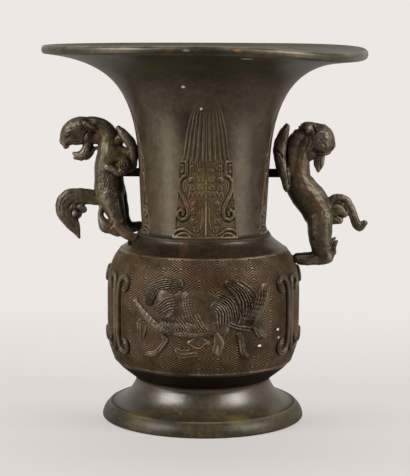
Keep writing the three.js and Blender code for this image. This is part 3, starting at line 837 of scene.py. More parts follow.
PANEL_MARKS: tuple[Mark, ...] = (
    Mark((0.0, -41.0, 154.0), (9.0, 12.0, 15.0), (0.115, 0.084, 0.022), 0.6, 0.0),
    Mark((0.0, -41.0, 132.0), (6.0, 12.0, 7.0), (0.12, 0.062, 0.02), 0.5, 0.0),
    Mark((-2.0, -47.6, 201.0), (1.05, 4.0, 1.0), PALE_CHIP),
)
BODY_MARKS: tuple[Mark, ...] = (
    Mark((46.4, -40.0, 63.8), (1.0, 2.0, 1.0), PALE_CHIP),
    Mark((47.0, -39.3, 58.5), (0.8, 2.0, 0.8), PALE_CHIP, 0.7),
    Mark((34.9, -50.4, 55.4), (1.4, 2.0, 0.9), PALE_CHIP),
    Mark((0.0, -61.0, 100.0), (26.0, 24.0, 9.0), (0.05, 0.024, 0.01), 0.35, 0.0),
)
FOOT_MARKS: tuple[Mark, ...] = (
    Mark((-40.0, -42.0, 9.0), (16.0, 20.0, 5.0), (0.1, 0.078, 0.022), 0.5, 0.0),
    Mark((22.0, -55.0, 9.0), (10.0, 20.0, 3.5), (0.13, 0.1, 0.034), 0.55, 0.0),
    Mark((46.0, -38.0, 9.5), (12.0, 20.0, 4.0), (0.11, 0.084, 0.03), 0.5, 0.0),
    Mark((-14.0, -56.0, 12.5), (3.0, 12.0, 2.0), (0.2, 0.13, 0.05), 0.5, 0.1),
)

NECK_PATINA = Patina(
    "neck_patina",
    "patinated_bronze",
    ground=(0.048, 0.033, 0.018),
    shade=(0.026, 0.018, 0.01),
    bloom=(0.082, 0.067, 0.04),
    mouth=(0.034, 0.028, 0.014),
    rub_and_sheen_amount=0.55,
    marks=NECK_MARKS,
)
PANEL_PATINA = Patina(
    "panel_patina",
    "patinated_bronze",
    ground=(0.058, 0.036, 0.017),
    shade=(0.034, 0.021, 0.01),
    bloom=(0.08, 0.06, 0.025),
    rubbed_and_sheen=(0.18, 0.138, 0.092),
    roughness=0.42,
    bloom_amount=0.4,
    rust_amount=0.45,
    marks=PANEL_MARKS,
)
BODY_PATINA = Patina(
    "body_patina",
    "patinated_bronze",
    # The plain ground is very dark: the bronze's own dark tone, deepened into painted shade on the shoulder
    # band under the mouth and on the underside above the foot.
    ground=(0.02, 0.0135, 0.007),
    shade=(0.012, 0.008, 0.004),
    bloom=(0.04, 0.032, 0.016),
    ornament=(0.054, 0.032, 0.015),
    ornament_shine=0.12,
    # The fret's rubbed ridges, made bright to paint sheen as well as wear.
    rubbed_and_sheen=(0.28, 0.205, 0.14),
    roughness=0.3,
    grime_and_shade_amount=0.9,
    rub_and_sheen_amount=0.75,
    marks=BODY_MARKS,
)
BEAST_PATINA = Patina(
    "beast_patina",
    "patinated_bronze",
    ground=(0.056, 0.036, 0.02),
    shade=(0.036, 0.022, 0.012),
    bloom=(0.07, 0.054, 0.028),
    # Rubbed high points, made brighter to paint highlights on the lit strands as well as wear.
    rubbed_and_sheen=(0.2, 0.16, 0.112),
    rust_amount=0.4,
    grime_and_shade_amount=0.75,
    rub_and_sheen_amount=0.6,
)
FOOT_PATINA = Patina(
    "foot_patina",
    "patinated_bronze",
    ground=(0.046, 0.034, 0.017),
    shade=(0.028, 0.019, 0.01),
    bloom=(0.08, 0.064, 0.026),
    ornament=(0.038, 0.029, 0.014),
    roughness=0.34,
    ornament_roughness=0.42,
    shine=0.85,
    gleam=(1.0, 0.97, 0.94),
    marks=FOOT_MARKS,
    bloom_amount=0.4,
)
LION_PATINA = Patina(
    "lion_patina",
    "lion_bronze",
    ground=(0.055, 0.038, 0.023),
    shade=(0.029, 0.019, 0.011),
    bloom=(0.068, 0.056, 0.026),
    ornament=(0.062, 0.053, 0.013),
    ornament_roughness=0.42,
    ornament_shine=0.5,
    fleck=(0.088, 0.042, 0.016),
    rubbed_and_sheen=(0.25, 0.2, 0.145),
    roughness=0.42,
    scale=1.7,
    rust_amount=0.45,
    bloom_amount=0.5,
    # A pale grey patch on the right lion's head: a painted highlight.
    marks=(Mark((73.0, -8.0, 180.0), (11.0, 12.0, 11.0), (0.12, 0.1, 0.078), 0.65, 0.0),),
)
SCROLL_PATINA = Patina(
    "scroll_patina",
    "scroll_bronze",
    ground=(0.058, 0.042, 0.025),
    shade=(0.034, 0.024, 0.014),
    bloom=(0.075, 0.06, 0.034),
    roughness=0.46,
    shine=0.32,
    grime_and_shade_amount=0.95,
    rub_and_sheen_amount=0.6,
)
FIXING_PATINA = Patina(
    "fixing_patina",
    "dark_fixing",
    ground=(0.036, 0.028, 0.018),
    shade=(0.022, 0.017, 0.011),
    bloom=(0.045, 0.038, 0.024),
    roughness=0.5,
)


class Finishes:
    """Makes each finish's material once and dresses pieces in it."""

    def __init__(self) -> None:
        """Builds the shared node groups."""
        self.groups = {"cloudy": mottle_group(), "worn_and_shaded": wear_and_shade_group()}
        self.made: dict[str, bpy.types.Material] = {}

    def dress(self, piece: bpy.types.Object, patina: Patina) -> None:
        """Gives a piece a finish."""
        if patina.name not in self.made:
            self.made[patina.name] = patina.material(self.groups)
        piece.data.materials.clear()
        piece.data.materials.append(self.made[patina.name])


# Castings


def add_sheet(name: str, columns: int, rows: int) -> tuple[bpy.types.Object, np.ndarray, np.ndarray]:
    """Adds a grid to be wrapped into a casting.

    Args:
        name: the piece's name.
        columns: faces across.
        rows: faces up.

    Returns:
        The object, and each vertex's column and row number.
    """
    deselect_all()
    bpy.ops.mesh.primitive_grid_add(x_subdivisions=columns, y_subdivisions=rows, size=1.0)
    sheet = bpy.context.object
    sheet.name = name
    sheet.data.name = name
    flat = points_of(sheet) * MM
    column = np.rint((flat[:, 0] + 0.5) * columns).astype(int)
    row = np.rint((flat[:, 1] + 0.5) * rows).astype(int)
    return sheet, column, row


def add_relief(name: str, columns: int, rows: int, coarse: int) -> tuple[bpy.types.Object, np.ndarray]:
    """Adds a sheet of fine faces that is closed at its back by coarse ones.

    Args:
        name: the piece's name.
        columns: fine faces across, a multiple of coarse.
        rows: fine faces up, a multiple of coarse.
        coarse: how many fine faces one back face spans each way.

    Returns:
        The object, and for each vertex its column, its row, and 1 at the back.
    """
    wide = columns + 1
    where = [(c, r, 0) for r in range(rows + 1) for c in range(wide)]
    behind = {}
    for r in range(coarse, rows, coarse):
        for c in range(coarse, columns, coarse):
            behind[c, r] = len(where)
            where.append((c, r, 1))

    def number(c: int, r: int) -> int:
        """Returns the back vertex at a place, which at the sheet's rim is the front's."""
        return behind.get((c, r), r * wide + c)

    faces = []
    for r in range(rows):
        for c in range(columns):
            first = r * wide + c
            faces.append((first, first + 1, first + wide + 1, first + wide))
    for r in range(0, rows, coarse):
        for c in range(0, columns, coarse):
            right, top = c + coarse, r + coarse
            low_step = 1 if r == 0 else coarse
            top_step = 1 if top == rows else coarse
            left_step = 1 if c == 0 else coarse
            right_step = 1 if right == columns else coarse
            loop = [number(k, r) for k in range(c, right, low_step)]
            loop += [number(right, k) for k in range(r, top, right_step)]
            loop += [number(k, top) for k in range(right, c, -top_step)]
            loop += [number(c, k) for k in range(top, r, -left_step)]
            faces.append(loop[::-1])
    points = [(float(c), float(r), -float(b)) for c, r, b in where]
    return add_mesh(name, points, [], faces), np.array(where)


def finish_relief(piece: bpy.types.Object, points: np.ndarray, rounds: int, depth: float) -> None:
    """Places a relief's points, closes it and tells its hollows from its high points.

    Args:
        piece: the relief.
        points: its points in millimetres.
        rounds: how widely its surface is averaged.
        depth: the departure in millimetres that counts as fully hollow or high.
    """
    place_points(piece, points)
    close_shell(piece)
    store(piece, Channel.RELIEF, hollowness(piece, rounds, depth))
    shade(piece, 70.0)


def wrap(outline: Outline, along: np.ndarray, turn: np.ndarray, stand: np.ndarray) -> np.ndarray:
    """Lays places on a turned outline.

    Args:
        outline: the casting's outline.
        along: lengths along the outline.
        turn: angles round the axis.
        stand: how far each place stands off the surface.

    Returns:
        The points in millimetres.
    """
    base, normal = outline.at(along), outline.outward(along)
    wide = base[:, 0] + stand * normal[:, 0]
    return np.column_stack([wide * np.cos(turn), wide * np.sin(turn), base[:, 1] + stand * normal[:, 1]])


def zone_share(points: np.ndarray, spots: tuple[Station, ...]) -> np.ndarray:
    """Returns 1 in the middle of round zones of (x, y, z, radius), eased to 0 at their edges."""
    shown = np.zeros(len(points))
    for *spot, radius in spots:
        gap = np.linalg.norm(points - np.array(spot), axis=1)
        shown = np.maximum(shown, smooth_step(radius, 0.5 * radius, gap))
    return shown


@dataclass
class VaseOutline:
    """The turned outlines of the three castings."""

    waist: float = 44.4
    waist_z: float = 26.6
    drum: float = 61.6
    collar: float = 43.5
    collar_z: float = 118.0
    lip_z: float = 238.0
    mouth: float = 103.0
    lip: float = 5.5

    def body(self) -> Outline:
        """Returns the body's outer outline, from waist to collar."""
        belly = bezier((self.waist, self.waist_z), (58.0, 37.6), (61.7, 40.0), (self.drum, 68.0))
        belly[:, 0] += 0.5 * np.exp(-(((belly[:, 1] - 35.5) / 5.0) ** 2))
        shoulder = bezier((self.drum, 80.0), (61.9, 111.1), (48.5, 110.0), (self.collar, 117.3))
        return Outline(belly, shoulder, np.array([(self.collar - 0.4, self.collar_z)]))

    def neck(self) -> Outline:
        """Returns the neck's outer outline, from its ring to the lip's underside."""
        ring = np.array([(42.6, self.collar_z), (42.6, 119.2)])
        cove = quadratic((42.2, 119.6), (39.4, 119.9), (39.3, 125.0))
        root = (self.mouth - self.lip / 2, self.lip_z - self.lip)
        flare = bezier((39.3, 125.0), (43.37, 181.7), (35.4, 225.4), root, 80)
        flare[:, 0] += 0.45 * np.exp(-(((flare[:, 1] - 206.0) / 9.0) ** 2))
        return Outline(ring, cove, flare)

    def envelope(self) -> Outline:
        """Returns body and neck as one rising outline."""
        return Outline(self.body().points, self.neck().points)


@dataclass
class Foot:
    """The splayed foot: a convex band, a crisp step and a cove up to the waist."""

    radius: float = 64.9
    band: float = 9.3
    brow: float = 60.6
    shelf: float = 58.9
    rim: float = 6.0
    waist: float = 44.2
    neck: float = 43.3
    neck_z: float = 23.0
    top: float = 26.6
    segments: int = 144

    def outline(self) -> np.ndarray:
        """Returns the closed outline of the foot and its spigot."""
        toe_in = 0.9
        standing = np.array([(self.radius - self.rim, 0.0), (self.radius - toe_in, 0.0)])
        toe = quadratic((self.radius - toe_in, 0.0), (self.radius, 0.0), (self.radius, toe_in), 4)
        band = quadratic((self.radius, toe_in), (self.radius - 0.3, 5.2), (self.brow, self.band - 0.5), 10)
        edge = self.brow - 1.0
        brow = quadratic((self.brow, self.band - 0.5), (self.brow - 0.4, self.band), (edge, self.band), 4)
        step = quadratic((edge, self.band), (self.shelf + 0.2, self.band), (self.shelf, self.band + 0.5), 3)
        cove = quadratic((self.shelf, self.band + 0.5), (48.6, 10.8), (self.neck, self.neck_z), 24)
        lip = quadratic(cove[-1], (self.neck - 0.2, self.top - 1.4), (self.waist, self.top - 0.3), 5)
        seat_z = self.top - 0.02
        spigot, spigot_z, bore_top = 38.3, 28.98, 34.3
        seat = [(self.waist - 0.5, seat_z), (spigot, seat_z), (spigot, spigot_z), (bore_top, spigot_z)]
        bore = quadratic((bore_top, self.top), (45.5, 6.5), (self.radius - self.rim, 0.0), 12)
        return np.vstack([standing, toe, band, brow, step, cove, lip, seat, bore])

    def build(self) -> bpy.types.Object:
        """Returns the foot, spun from its outline."""
        line = self.outline()
        keep = np.concatenate([[True], np.linalg.norm(np.diff(line, axis=0), axis=1) > 1e-4])
        line = line[keep][:-1]
        points = [(r * MM, 0.0, z * MM) for r, z in line]
        count = len(points)
        piece = add_mesh("foot_casting", points, [(k, (k + 1) % count) for k in range(count)], [])
        round_axis = {"angle": 2 * math.pi, "center": (0, 0, 0), "axis": (0, 0, 1)}
        edit_whole(piece, lambda: bpy.ops.mesh.spin(steps=self.segments, **round_axis))
        close_shell(piece, 1e-6)
        shade(piece, 40.0)
        flat = points_of(piece)
        radius, height = np.hypot(flat[:, 0], flat[:, 1]), flat[:, 2]
        # Low relief in the step's inner corner is painted shade in the crease; high relief on the brow is a
        # painted highlight along its edge.
        corner = np.exp(-(((radius - self.shelf) / 0.9) ** 2) - ((height - self.band - 0.4) / 0.7) ** 2)
        brow = np.exp(-(((radius - self.brow) / 0.9) ** 2) - ((height - self.band + 0.2) / 0.8) ** 2)
        store(piece, Channel.RELIEF, 0.5 - 0.3 * corner + 0.4 * brow)
        store(piece, Channel.ORNAMENT, smooth_step(self.band + 1.6, self.band + 0.2, height))
        return piece


# The beast in low relief, as (across, height) seen from its front: raised forms and fans of strands

BEAST_MASSES: tuple[Mass, ...] = (
    Mass(11.5, 0.46, ((-24.0, 77.5), (-10.0, 76.0), (4.0, 75.0), (18.0, 75.0), (26.0, 76.5))),
    Mass(10.0, 0.36, ((-14.0, 86.0), (-4.0, 86.0), (8.0, 84.0))),
    Mass(7.0, 1.2, ((-24.8, 87.2), (-21.2, 82.2), (-18.8, 76.6))),
    Mass(5.4, 1.7, ((-24.2, 68.2), (-15.8, 67.0), (-6.1, 66.6), (2.4, 67.3), (9.7, 69.8)),
        Tooling.ACROSS, 1.7, 0.4),
    Mass(6.0, 1.1, ((-9.1, 87.2), (-7.3, 78.5), (-3.0, 69.8)), Tooling.SCALES, 1.6, 0.5),
    Mass(6.6, 1.5, ((7.9, 81.0), (12.7, 74.8), (12.1, 67.9))),
    Mass(4.0, 1.2, ((15.8, 95.3), (21.8, 89.7), (25.5, 82.2), (26.1, 77.2))),
    Mass(5.4, 0.9, ((38.8, 91.6), (35.1, 82.2), (29.7, 74.8), (22.4, 70.4))),
    Mass(3.6, 1.1, ((-14.5, 95.0), (-24.2, 96.0), (-30.9, 91.0), (-33.0, 83.5))),
    Mass(2.6, 0.9, ((-41.8, 82.2), (-34.5, 73.8), (-25.5, 66.3))),
    Mass(1.9, 1.3, ((-24.5, 63.5), (-23.3, 59.5), (-26.1, 54.8), (-28.5, 51.7))),
    Mass(2.0, 1.1, ((-34.8, 50.1), (-31.8, 50.7), (-28.8, 51.7))),
    Mass(2.4, 0.9, ((-39.4, 70.4), (-37.6, 64.8), (-38.2, 58.8))),
    Mass(3.4, 1.3, ((7.9, 64.1), (9.7, 59.2), (9.1, 53.5))),
    Mass(2.2, 1.4, ((22.4, 64.1), (23.6, 59.2), (24.2, 53.5), (26.7, 50.1))),
    Mass(2.2, 1.2, ((30.9, 66.6), (33.9, 63.5), (37.0, 61.0))),
    Mass(3.0, 0.5, ((-8.5, 59.2), (-3.0, 60.1), (3.0, 58.8))),
    Mass(2.4, 0.45, ((-16.4, 54.2), (-10.9, 51.7), (-4.8, 52.3))),
)

BEAST_FANS: tuple[Fan, ...] = (
    Fan(6, 0.5, 0.9, ((-12.1, 96.3), (-19.4, 98.5), (-27.3, 97.2), (-32.7, 92.2), (-35.1, 86.0),
        (-34.8, 81.0)), ((-13.9, 92.2), (-19.4, 92.8), (-25.5, 91.6), (-29.4, 87.5), (-30.9, 84.1),
        (-31.2, 81.0))),
    Fan(5, 0.45, 0.7, ((-30.6, 79.7), (-26.7, 82.6), (-22.4, 85.7), (-18.2, 86.9)), ((-26.7, 74.1),
        (-23.6, 77.6), (-19.4, 80.1), (-15.8, 80.7))),
    Fan(4, 0.5, 0.6, ((-43.9, 84.1), (-41.2, 81.6), (-37.0, 76.0), (-32.1, 69.8), (-25.5, 65.4),
        (-18.8, 63.5)), ((-38.8, 81.0), (-35.1, 77.2), (-30.9, 72.9), (-26.7, 69.1), (-21.8, 66.6),
        (-16.4, 65.4))),
    Fan(13, 0.4, 0.5, ((-26.7, 74.1), (-23.6, 70.4), (-19.4, 66.6)), ((-3.0, 76.6), (-0.6, 71.6),
        (3.0, 66.6))),
    Fan(5, 0.5, 1.0, ((12.7, 94.7), (18.2, 90.4), (21.8, 84.1), (23.0, 77.9)), ((16.4, 98.2),
        (23.0, 93.8), (27.3, 87.2), (29.7, 80.4))),
    Fan(2, 0.60, 0.80, ((20.3, 96.9), (26.1, 91.9), (29.4, 86.6)), ((23.0, 96.9), (28.8, 92.2),
        (32.4, 87.2))),
    Fan(9, 0.42, 0.7, ((3.0, 81.0), (6.7, 79.7), (8.8, 74.8), (8.8, 69.1)), ((12.1, 89.1), (17.6, 86.0),
        (20.3, 80.4), (20.9, 72.9))),
    Fan(10, 0.5, 0.85, ((21.8, 79.1), (22.4, 74.8), (21.2, 70.4)), ((40.6, 96.0), (38.5, 87.9),
        (34.8, 79.1), (29.7, 69.1))),
    Fan(2, 0.60, 0.70, ((15.2, 69.8), (21.8, 67.3), (30.9, 64.5)), ((15.8, 71.3), (22.4, 69.0),
        (31.5, 66.6))),
    Fan(2, 0.55, 0.60, ((-25.5, 62.9), (-23.9, 59.5), (-27.0, 54.8), (-29.4, 51.4)), ((-23.3, 63.2),
        (-21.9, 59.5), (-24.8, 54.5), (-27.3, 51.0))),
    Fan(3, 0.50, 0.60, ((-35.5, 51.4), (-32.7, 52.0), (-29.7, 52.9)), ((-34.8, 48.5), (-31.2, 49.2),
        (-28.2, 50.7))),
    Fan(3, 0.55, 0.70, ((-41.5, 70.4), (-39.7, 65.4), (-40.0, 59.2)), ((-36.7, 70.4), (-35.1, 65.4),
        (-36.4, 58.5))),
    Fan(3, 0.55, 0.50, ((6.4, 57.3), (6.4, 52.3)), ((11.2, 57.3), (11.5, 52.3))),
    Fan(3, 0.55, 0.70, ((20.9, 64.1), (22.1, 59.2), (22.7, 53.5), (24.8, 49.8)), ((24.2, 64.1),
        (25.5, 59.2), (25.8, 54.2), (28.2, 50.4))),
    Fan(3, 0.55, 0.70, ((30.0, 66.3), (32.1, 63.5), (34.5, 60.1)), ((33.3, 67.6), (36.1, 64.1),
        (39.1, 61.3))),
    Fan(2, 0.50, 0.45, ((-9.1, 59.2), (-3.0, 62.6), (3.6, 59.5)), ((-9.1, 59.2), (-3.0, 55.4),
        (3.6, 59.5))),
    Fan(3, 0.50, 0.40, ((-17.6, 56.0), (-12.1, 54.2), (-6.1, 55.4)), ((-15.8, 50.7), (-10.3, 49.5),
        (-3.0, 51.0))),
    Fan(2, 0.60, 0.60, ((-24.8, 63.5), (-10.9, 63.5), (-1.2, 64.1), (4.2, 64.1)), ((-24.2, 64.8),
        (-10.9, 64.6), (-1.2, 65.1), (3.6, 65.3))),
    Fan(2, 0.50, 0.60, ((-24.5, 77.9), (-22.4, 74.8), (-19.4, 76.0), (-18.2, 78.8)), ((-23.0, 77.6),
        (-21.5, 76.0), (-20.0, 76.6), (-19.1, 78.5))),
)


@dataclass
class Body:
    """The drum, with a fret ground cut between two edge lines."""

    outlines: VaseOutline
    rhombs: int = 16
    fret_steps: int = 18
    row_step: float = 0.385
    rhomb_bearing: float = -92.6
    rhomb_z: float = 103.8
    fret_low: float = 38.0
    fret_high: float = 109.2
    fret_depth: float = 0.3
    edge_line: float = 0.45
    wall: float = 4.0
    smooth_rows: int = 12
    cavity_rows: int = 12
    cavity_from: float = 33.0
    cavity_to: float = 108.0
    cavity_floor: float = 30.0
    cavity_top: float = 111.0
    foot_socket: float = 38.6
    foot_socket_z: float = 29.0
    neck_socket: float = 37.6
    neck_socket_z: float = 112.0

    def rows(self) -> tuple[np.ndarray, np.ndarray, np.ndarray]:
        """Lays out the sheet's rows round the closed outline.

        Returns:
            The rows' (radius, height), their outward normals, and their fret row numbers or -1.
        """
        outer = self.outlines.body()
        low, high = outer.length_at(self.fret_low), outer.length_at(self.fret_high)
        count = 2 * int((high - low) / self.row_step / 2)
        fret = low + self.row_step * np.arange(count + 1)
        below = np.linspace(0.0, low, self.smooth_rows, endpoint=False)
        above = np.linspace(fret[-1], outer.along[-1], self.smooth_rows + 1)[1:]
        along = np.concatenate([below, fret, above])
        outside, normals = outer.at(along), outer.outward(along)
        numbers = np.full(len(along), -1)
        numbers[len(below) : len(below) + len(fret)] = np.arange(len(fret))
        ends = outer.length_at(np.array([self.cavity_from, self.cavity_to]))
        behind = np.linspace(ends[0], ends[1], self.cavity_rows)
        back = outer.at(behind) - self.wall * outer.outward(behind)
        back = back[(back[:, 1] > self.cavity_floor) & (back[:, 1] < self.cavity_top)][::-1]
        socket, floor_z = self.foot_socket, self.foot_socket_z
        floor = float(outer.radius_at(floor_z)) - 1.5 * self.wall
        top = [(self.neck_socket, self.outlines.collar_z), (self.neck_socket, self.neck_socket_z)]
        seat = [(floor, floor_z), (socket, floor_z), (socket, self.outlines.waist_z)]
        inside = np.vstack([top, back, seat, outside[:1]])
        places = np.vstack([outside, inside])
        normals = np.vstack([normals, np.zeros_like(inside)])
        numbers = np.concatenate([numbers, np.full(len(inside), -1)])
        return places, normals, numbers

    def fret(self, row: np.ndarray, column: np.ndarray) -> np.ndarray:
        """Returns 1 on the fret's ridges and 0 in its channels: rhombs one inside another."""
        size = self.fret_steps
        outer = self.outlines.body()
        low, middle = outer.length_at(self.fret_low), outer.length_at(self.rhomb_z)
        centre_row = (middle - low) / self.row_step
        centre_column = self.rhomb_bearing / 360.0 * self.rhombs * size
        up = row - int(centre_row) + size
        across = 2 * column + row % 2 - 2 * int(centre_column) - (int(centre_row) - size) % 2
        i, j = ((across + up) // 2) % size, ((up - across) // 2) % size
        ring = np.minimum(np.minimum(i, size - i), np.minimum(j, size - j))
        return (ring % 2 == 0).astype(float)

    def build(self) -> bpy.types.Object:
        """Returns the body, wrapped from one sheet."""
        places, normals, numbers = self.rows()
        columns = self.rhombs * self.fret_steps
        piece, column, row = add_sheet("body_casting", columns, len(places) - 1)
        shift = 0.5 * (row % 2)
        flat = np.column_stack([column + shift, 0.8 * row, np.zeros(len(row))])
        place_points(piece, flat)
        edit_whole(piece, lambda: bpy.ops.mesh.quads_convert_to_tris(quad_method="SHORTEST_DIAGONAL"))
        fret_row = numbers[row]
        on_fret = fret_row >= 0
        turn = 2 * math.pi * (column + 0.5 * (np.where(on_fret, fret_row, row) % 2)) / columns
        radius, height = places[row, 0], places[row, 1]
        ridge = np.where(on_fret, self.fret(np.maximum(fret_row, 0), column), 0.5)
        stand = np.where(on_fret, self.fret_depth * (ridge - 0.55), 0.0)
        last = numbers.max()
        edge = on_fret & ((fret_row <= 2) | (fret_row >= last - 2))
        stand[edge] = self.edge_line
        # Under the drum the relief falls towards the waist, so the wear group paints shade on the underside
        # above the foot.
        plain = 0.5 - 0.4 * smooth_step(37.5, 35.5, height)
        # The fret's channels get low relief and its ridges high: dark patina and painted shade in the
        # channels, rubbed wear and painted sheen on the ridges.
        relief = np.where(on_fret, np.where(ridge > 0.5, 0.86, 0.1), plain)
        relief[edge] = 0.8
        wide = radius + stand * normals[row, 0]
        points = np.column_stack([wide * np.cos(turn), wide * np.sin(turn), height + stand * normals[row, 1]])
        place_points(piece, points)
        store(piece, Channel.RELIEF, relief)
        store(piece, Channel.ORNAMENT, on_fret.astype(float))
        close_shell(piece, 1e-5)
        shade(piece, 50.0)
        return piece


@dataclass
class Beast:
    """The beast in relief, cast in one with the drum."""

    outlines: VaseOutline
    half_span: float = 52.0
    low: float = 44.5
    high: float = 98.5
    columns: int = 372
    row_count: int = 204
    coarse: int = 12
    hidden: float = 0.8
    backing: float = 1.5
    waver: float = 0.25

    def heights(self, across: np.ndarray, height: np.ndarray) -> np.ndarray:
        """Returns how far the beast stands proud, at millimetres across and up."""
        seen = self.outlines.drum * np.sin(across / self.outlines.drum)
        waver_x = np.sin(0.35 * height + 0.2 * seen) + 0.4 * np.sin(0.9 * height - 0.3 * seen)
        waver_z = np.sin(0.3 * seen - 0.25 * height) + 0.4 * np.sin(0.8 * seen + 0.5 * height)
        where = np.column_stack([seen + self.waver * waver_x, height + self.waver * waver_z])
        strands = [strand for fan in BEAST_FANS for strand in fan.strands()]
        uneven = 1.0 + 0.3 * np.sin(1.3 * seen + 0.6 * height) * np.sin(0.7 * seen - 1.6 * height)
        return mass_heights(where, BEAST_MASSES) + uneven * stroke_heights(where, strands)

    def build(self, name: str, bearing: float) -> bpy.types.Object:
        """Returns the beast.

        Args:
            name: the piece's name.
            bearing: its meridian round the drum in degrees.
        """
        piece, where = add_relief(name, self.columns, self.row_count, self.coarse)
        across = self.half_span * (2.0 * where[:, 0] / self.columns - 1.0)
        height = self.low + (self.high - self.low) * where[:, 1] / self.row_count
        proud = self.heights(across, height)
        stand = -self.hidden + (self.hidden + proud) * smooth_step(0.03, 0.4, proud)
        rim = (where[:, 0] % self.columns == 0) | (where[:, 1] % self.row_count == 0)
        stand[rim] = -self.hidden
        stand[where[:, 2] > 0] = -self.backing
        outer = self.outlines.body()
        along = outer.length_at(height)
        turn = math.radians(bearing) + across / self.outlines.drum
        finish_relief(piece, wrap(outer, along, turn, stand), 14, 0.36)
        return piece


# Leaf panels of the neck, as carved lines of (across, height) from each panel's middle, both ways

PANEL_S_BAND: Path = (
    (12.3, 167.8), (12.3, 163.0), (12.5, 159.4), (14.7, 158.4), (16.6, 155.4), (16.6, 151.7),
    (15.3, 147.5), (13.0, 143.4), (11.3, 139.3), (10.9, 135.4), (12.2, 132.6), (15.0, 131.6),
    (17.3, 133.5), (17.4, 136.6), (15.4, 138.0), (13.8, 136.6), (14.4, 134.8),
)
PANEL_BANDS: tuple[Stroke, ...] = (
    Stroke(PANEL_S_BAND, 1.2, 0.85, 0.2),
    Stroke(((20.4, 123.2), (17.0, 125.4), (12.4, 125.6), (8.6, 122.8)), 0.95, 0.7, 0.2),
    Stroke(((18.6, 121.4), (15.6, 123.0), (12.0, 123.2), (9.6, 121.4)), 0.8, 0.6, 0.2),
    Stroke(((17.2, 167.4), (14.6, 168.0), (12.3, 168.2)), 0.7, 0.55, 0.2),
    Stroke(((16.4, 165.4), (14.2, 165.6), (14.2, 162.0), (15.8, 161.6)), 0.55, 0.45, 0.2),
    Stroke(((0.0, 141.0), (0.0, 134.0), (0.0, 122.5)), 0.6, 0.3, 0.2),
    Stroke(((2.2, 139.0), (2.0, 132.0), (3.4, 126.0)), 0.55, 0.35, 0.2),
    Stroke(((8.0, 157.2), (9.0, 156.8)), 1.7, 0.55, 0.0),
    Stroke(((2.8, 163.0), (3.4, 162.6)), 1.5, 0.45, 0.0),
    Stroke(((6.4, 142.4), (7.0, 142.0)), 1.6, 0.45, 0.0),
)
PANEL_CURLS: tuple[tuple[float, float, float, int], ...] = (
    (8.2, 163.8, 200.0, -1),
    (3.4, 157.0, 30.0, 1),
    (3.0, 152.0, 120.0, -1),
    (8.6, 151.6, 60.0, 1),
    (7.6, 136.6, 150.0, -1),
    (6.6, 130.6, 310.0, 1),
    (6.0, 125.4, 40.0, 1),
    (18.2, 141.2, 60.0, 1),
    (17.6, 146.0, 240.0, -1),
)
PANEL_RIBS = (0.93, 0.75, 0.56, 0.36, 0.14)


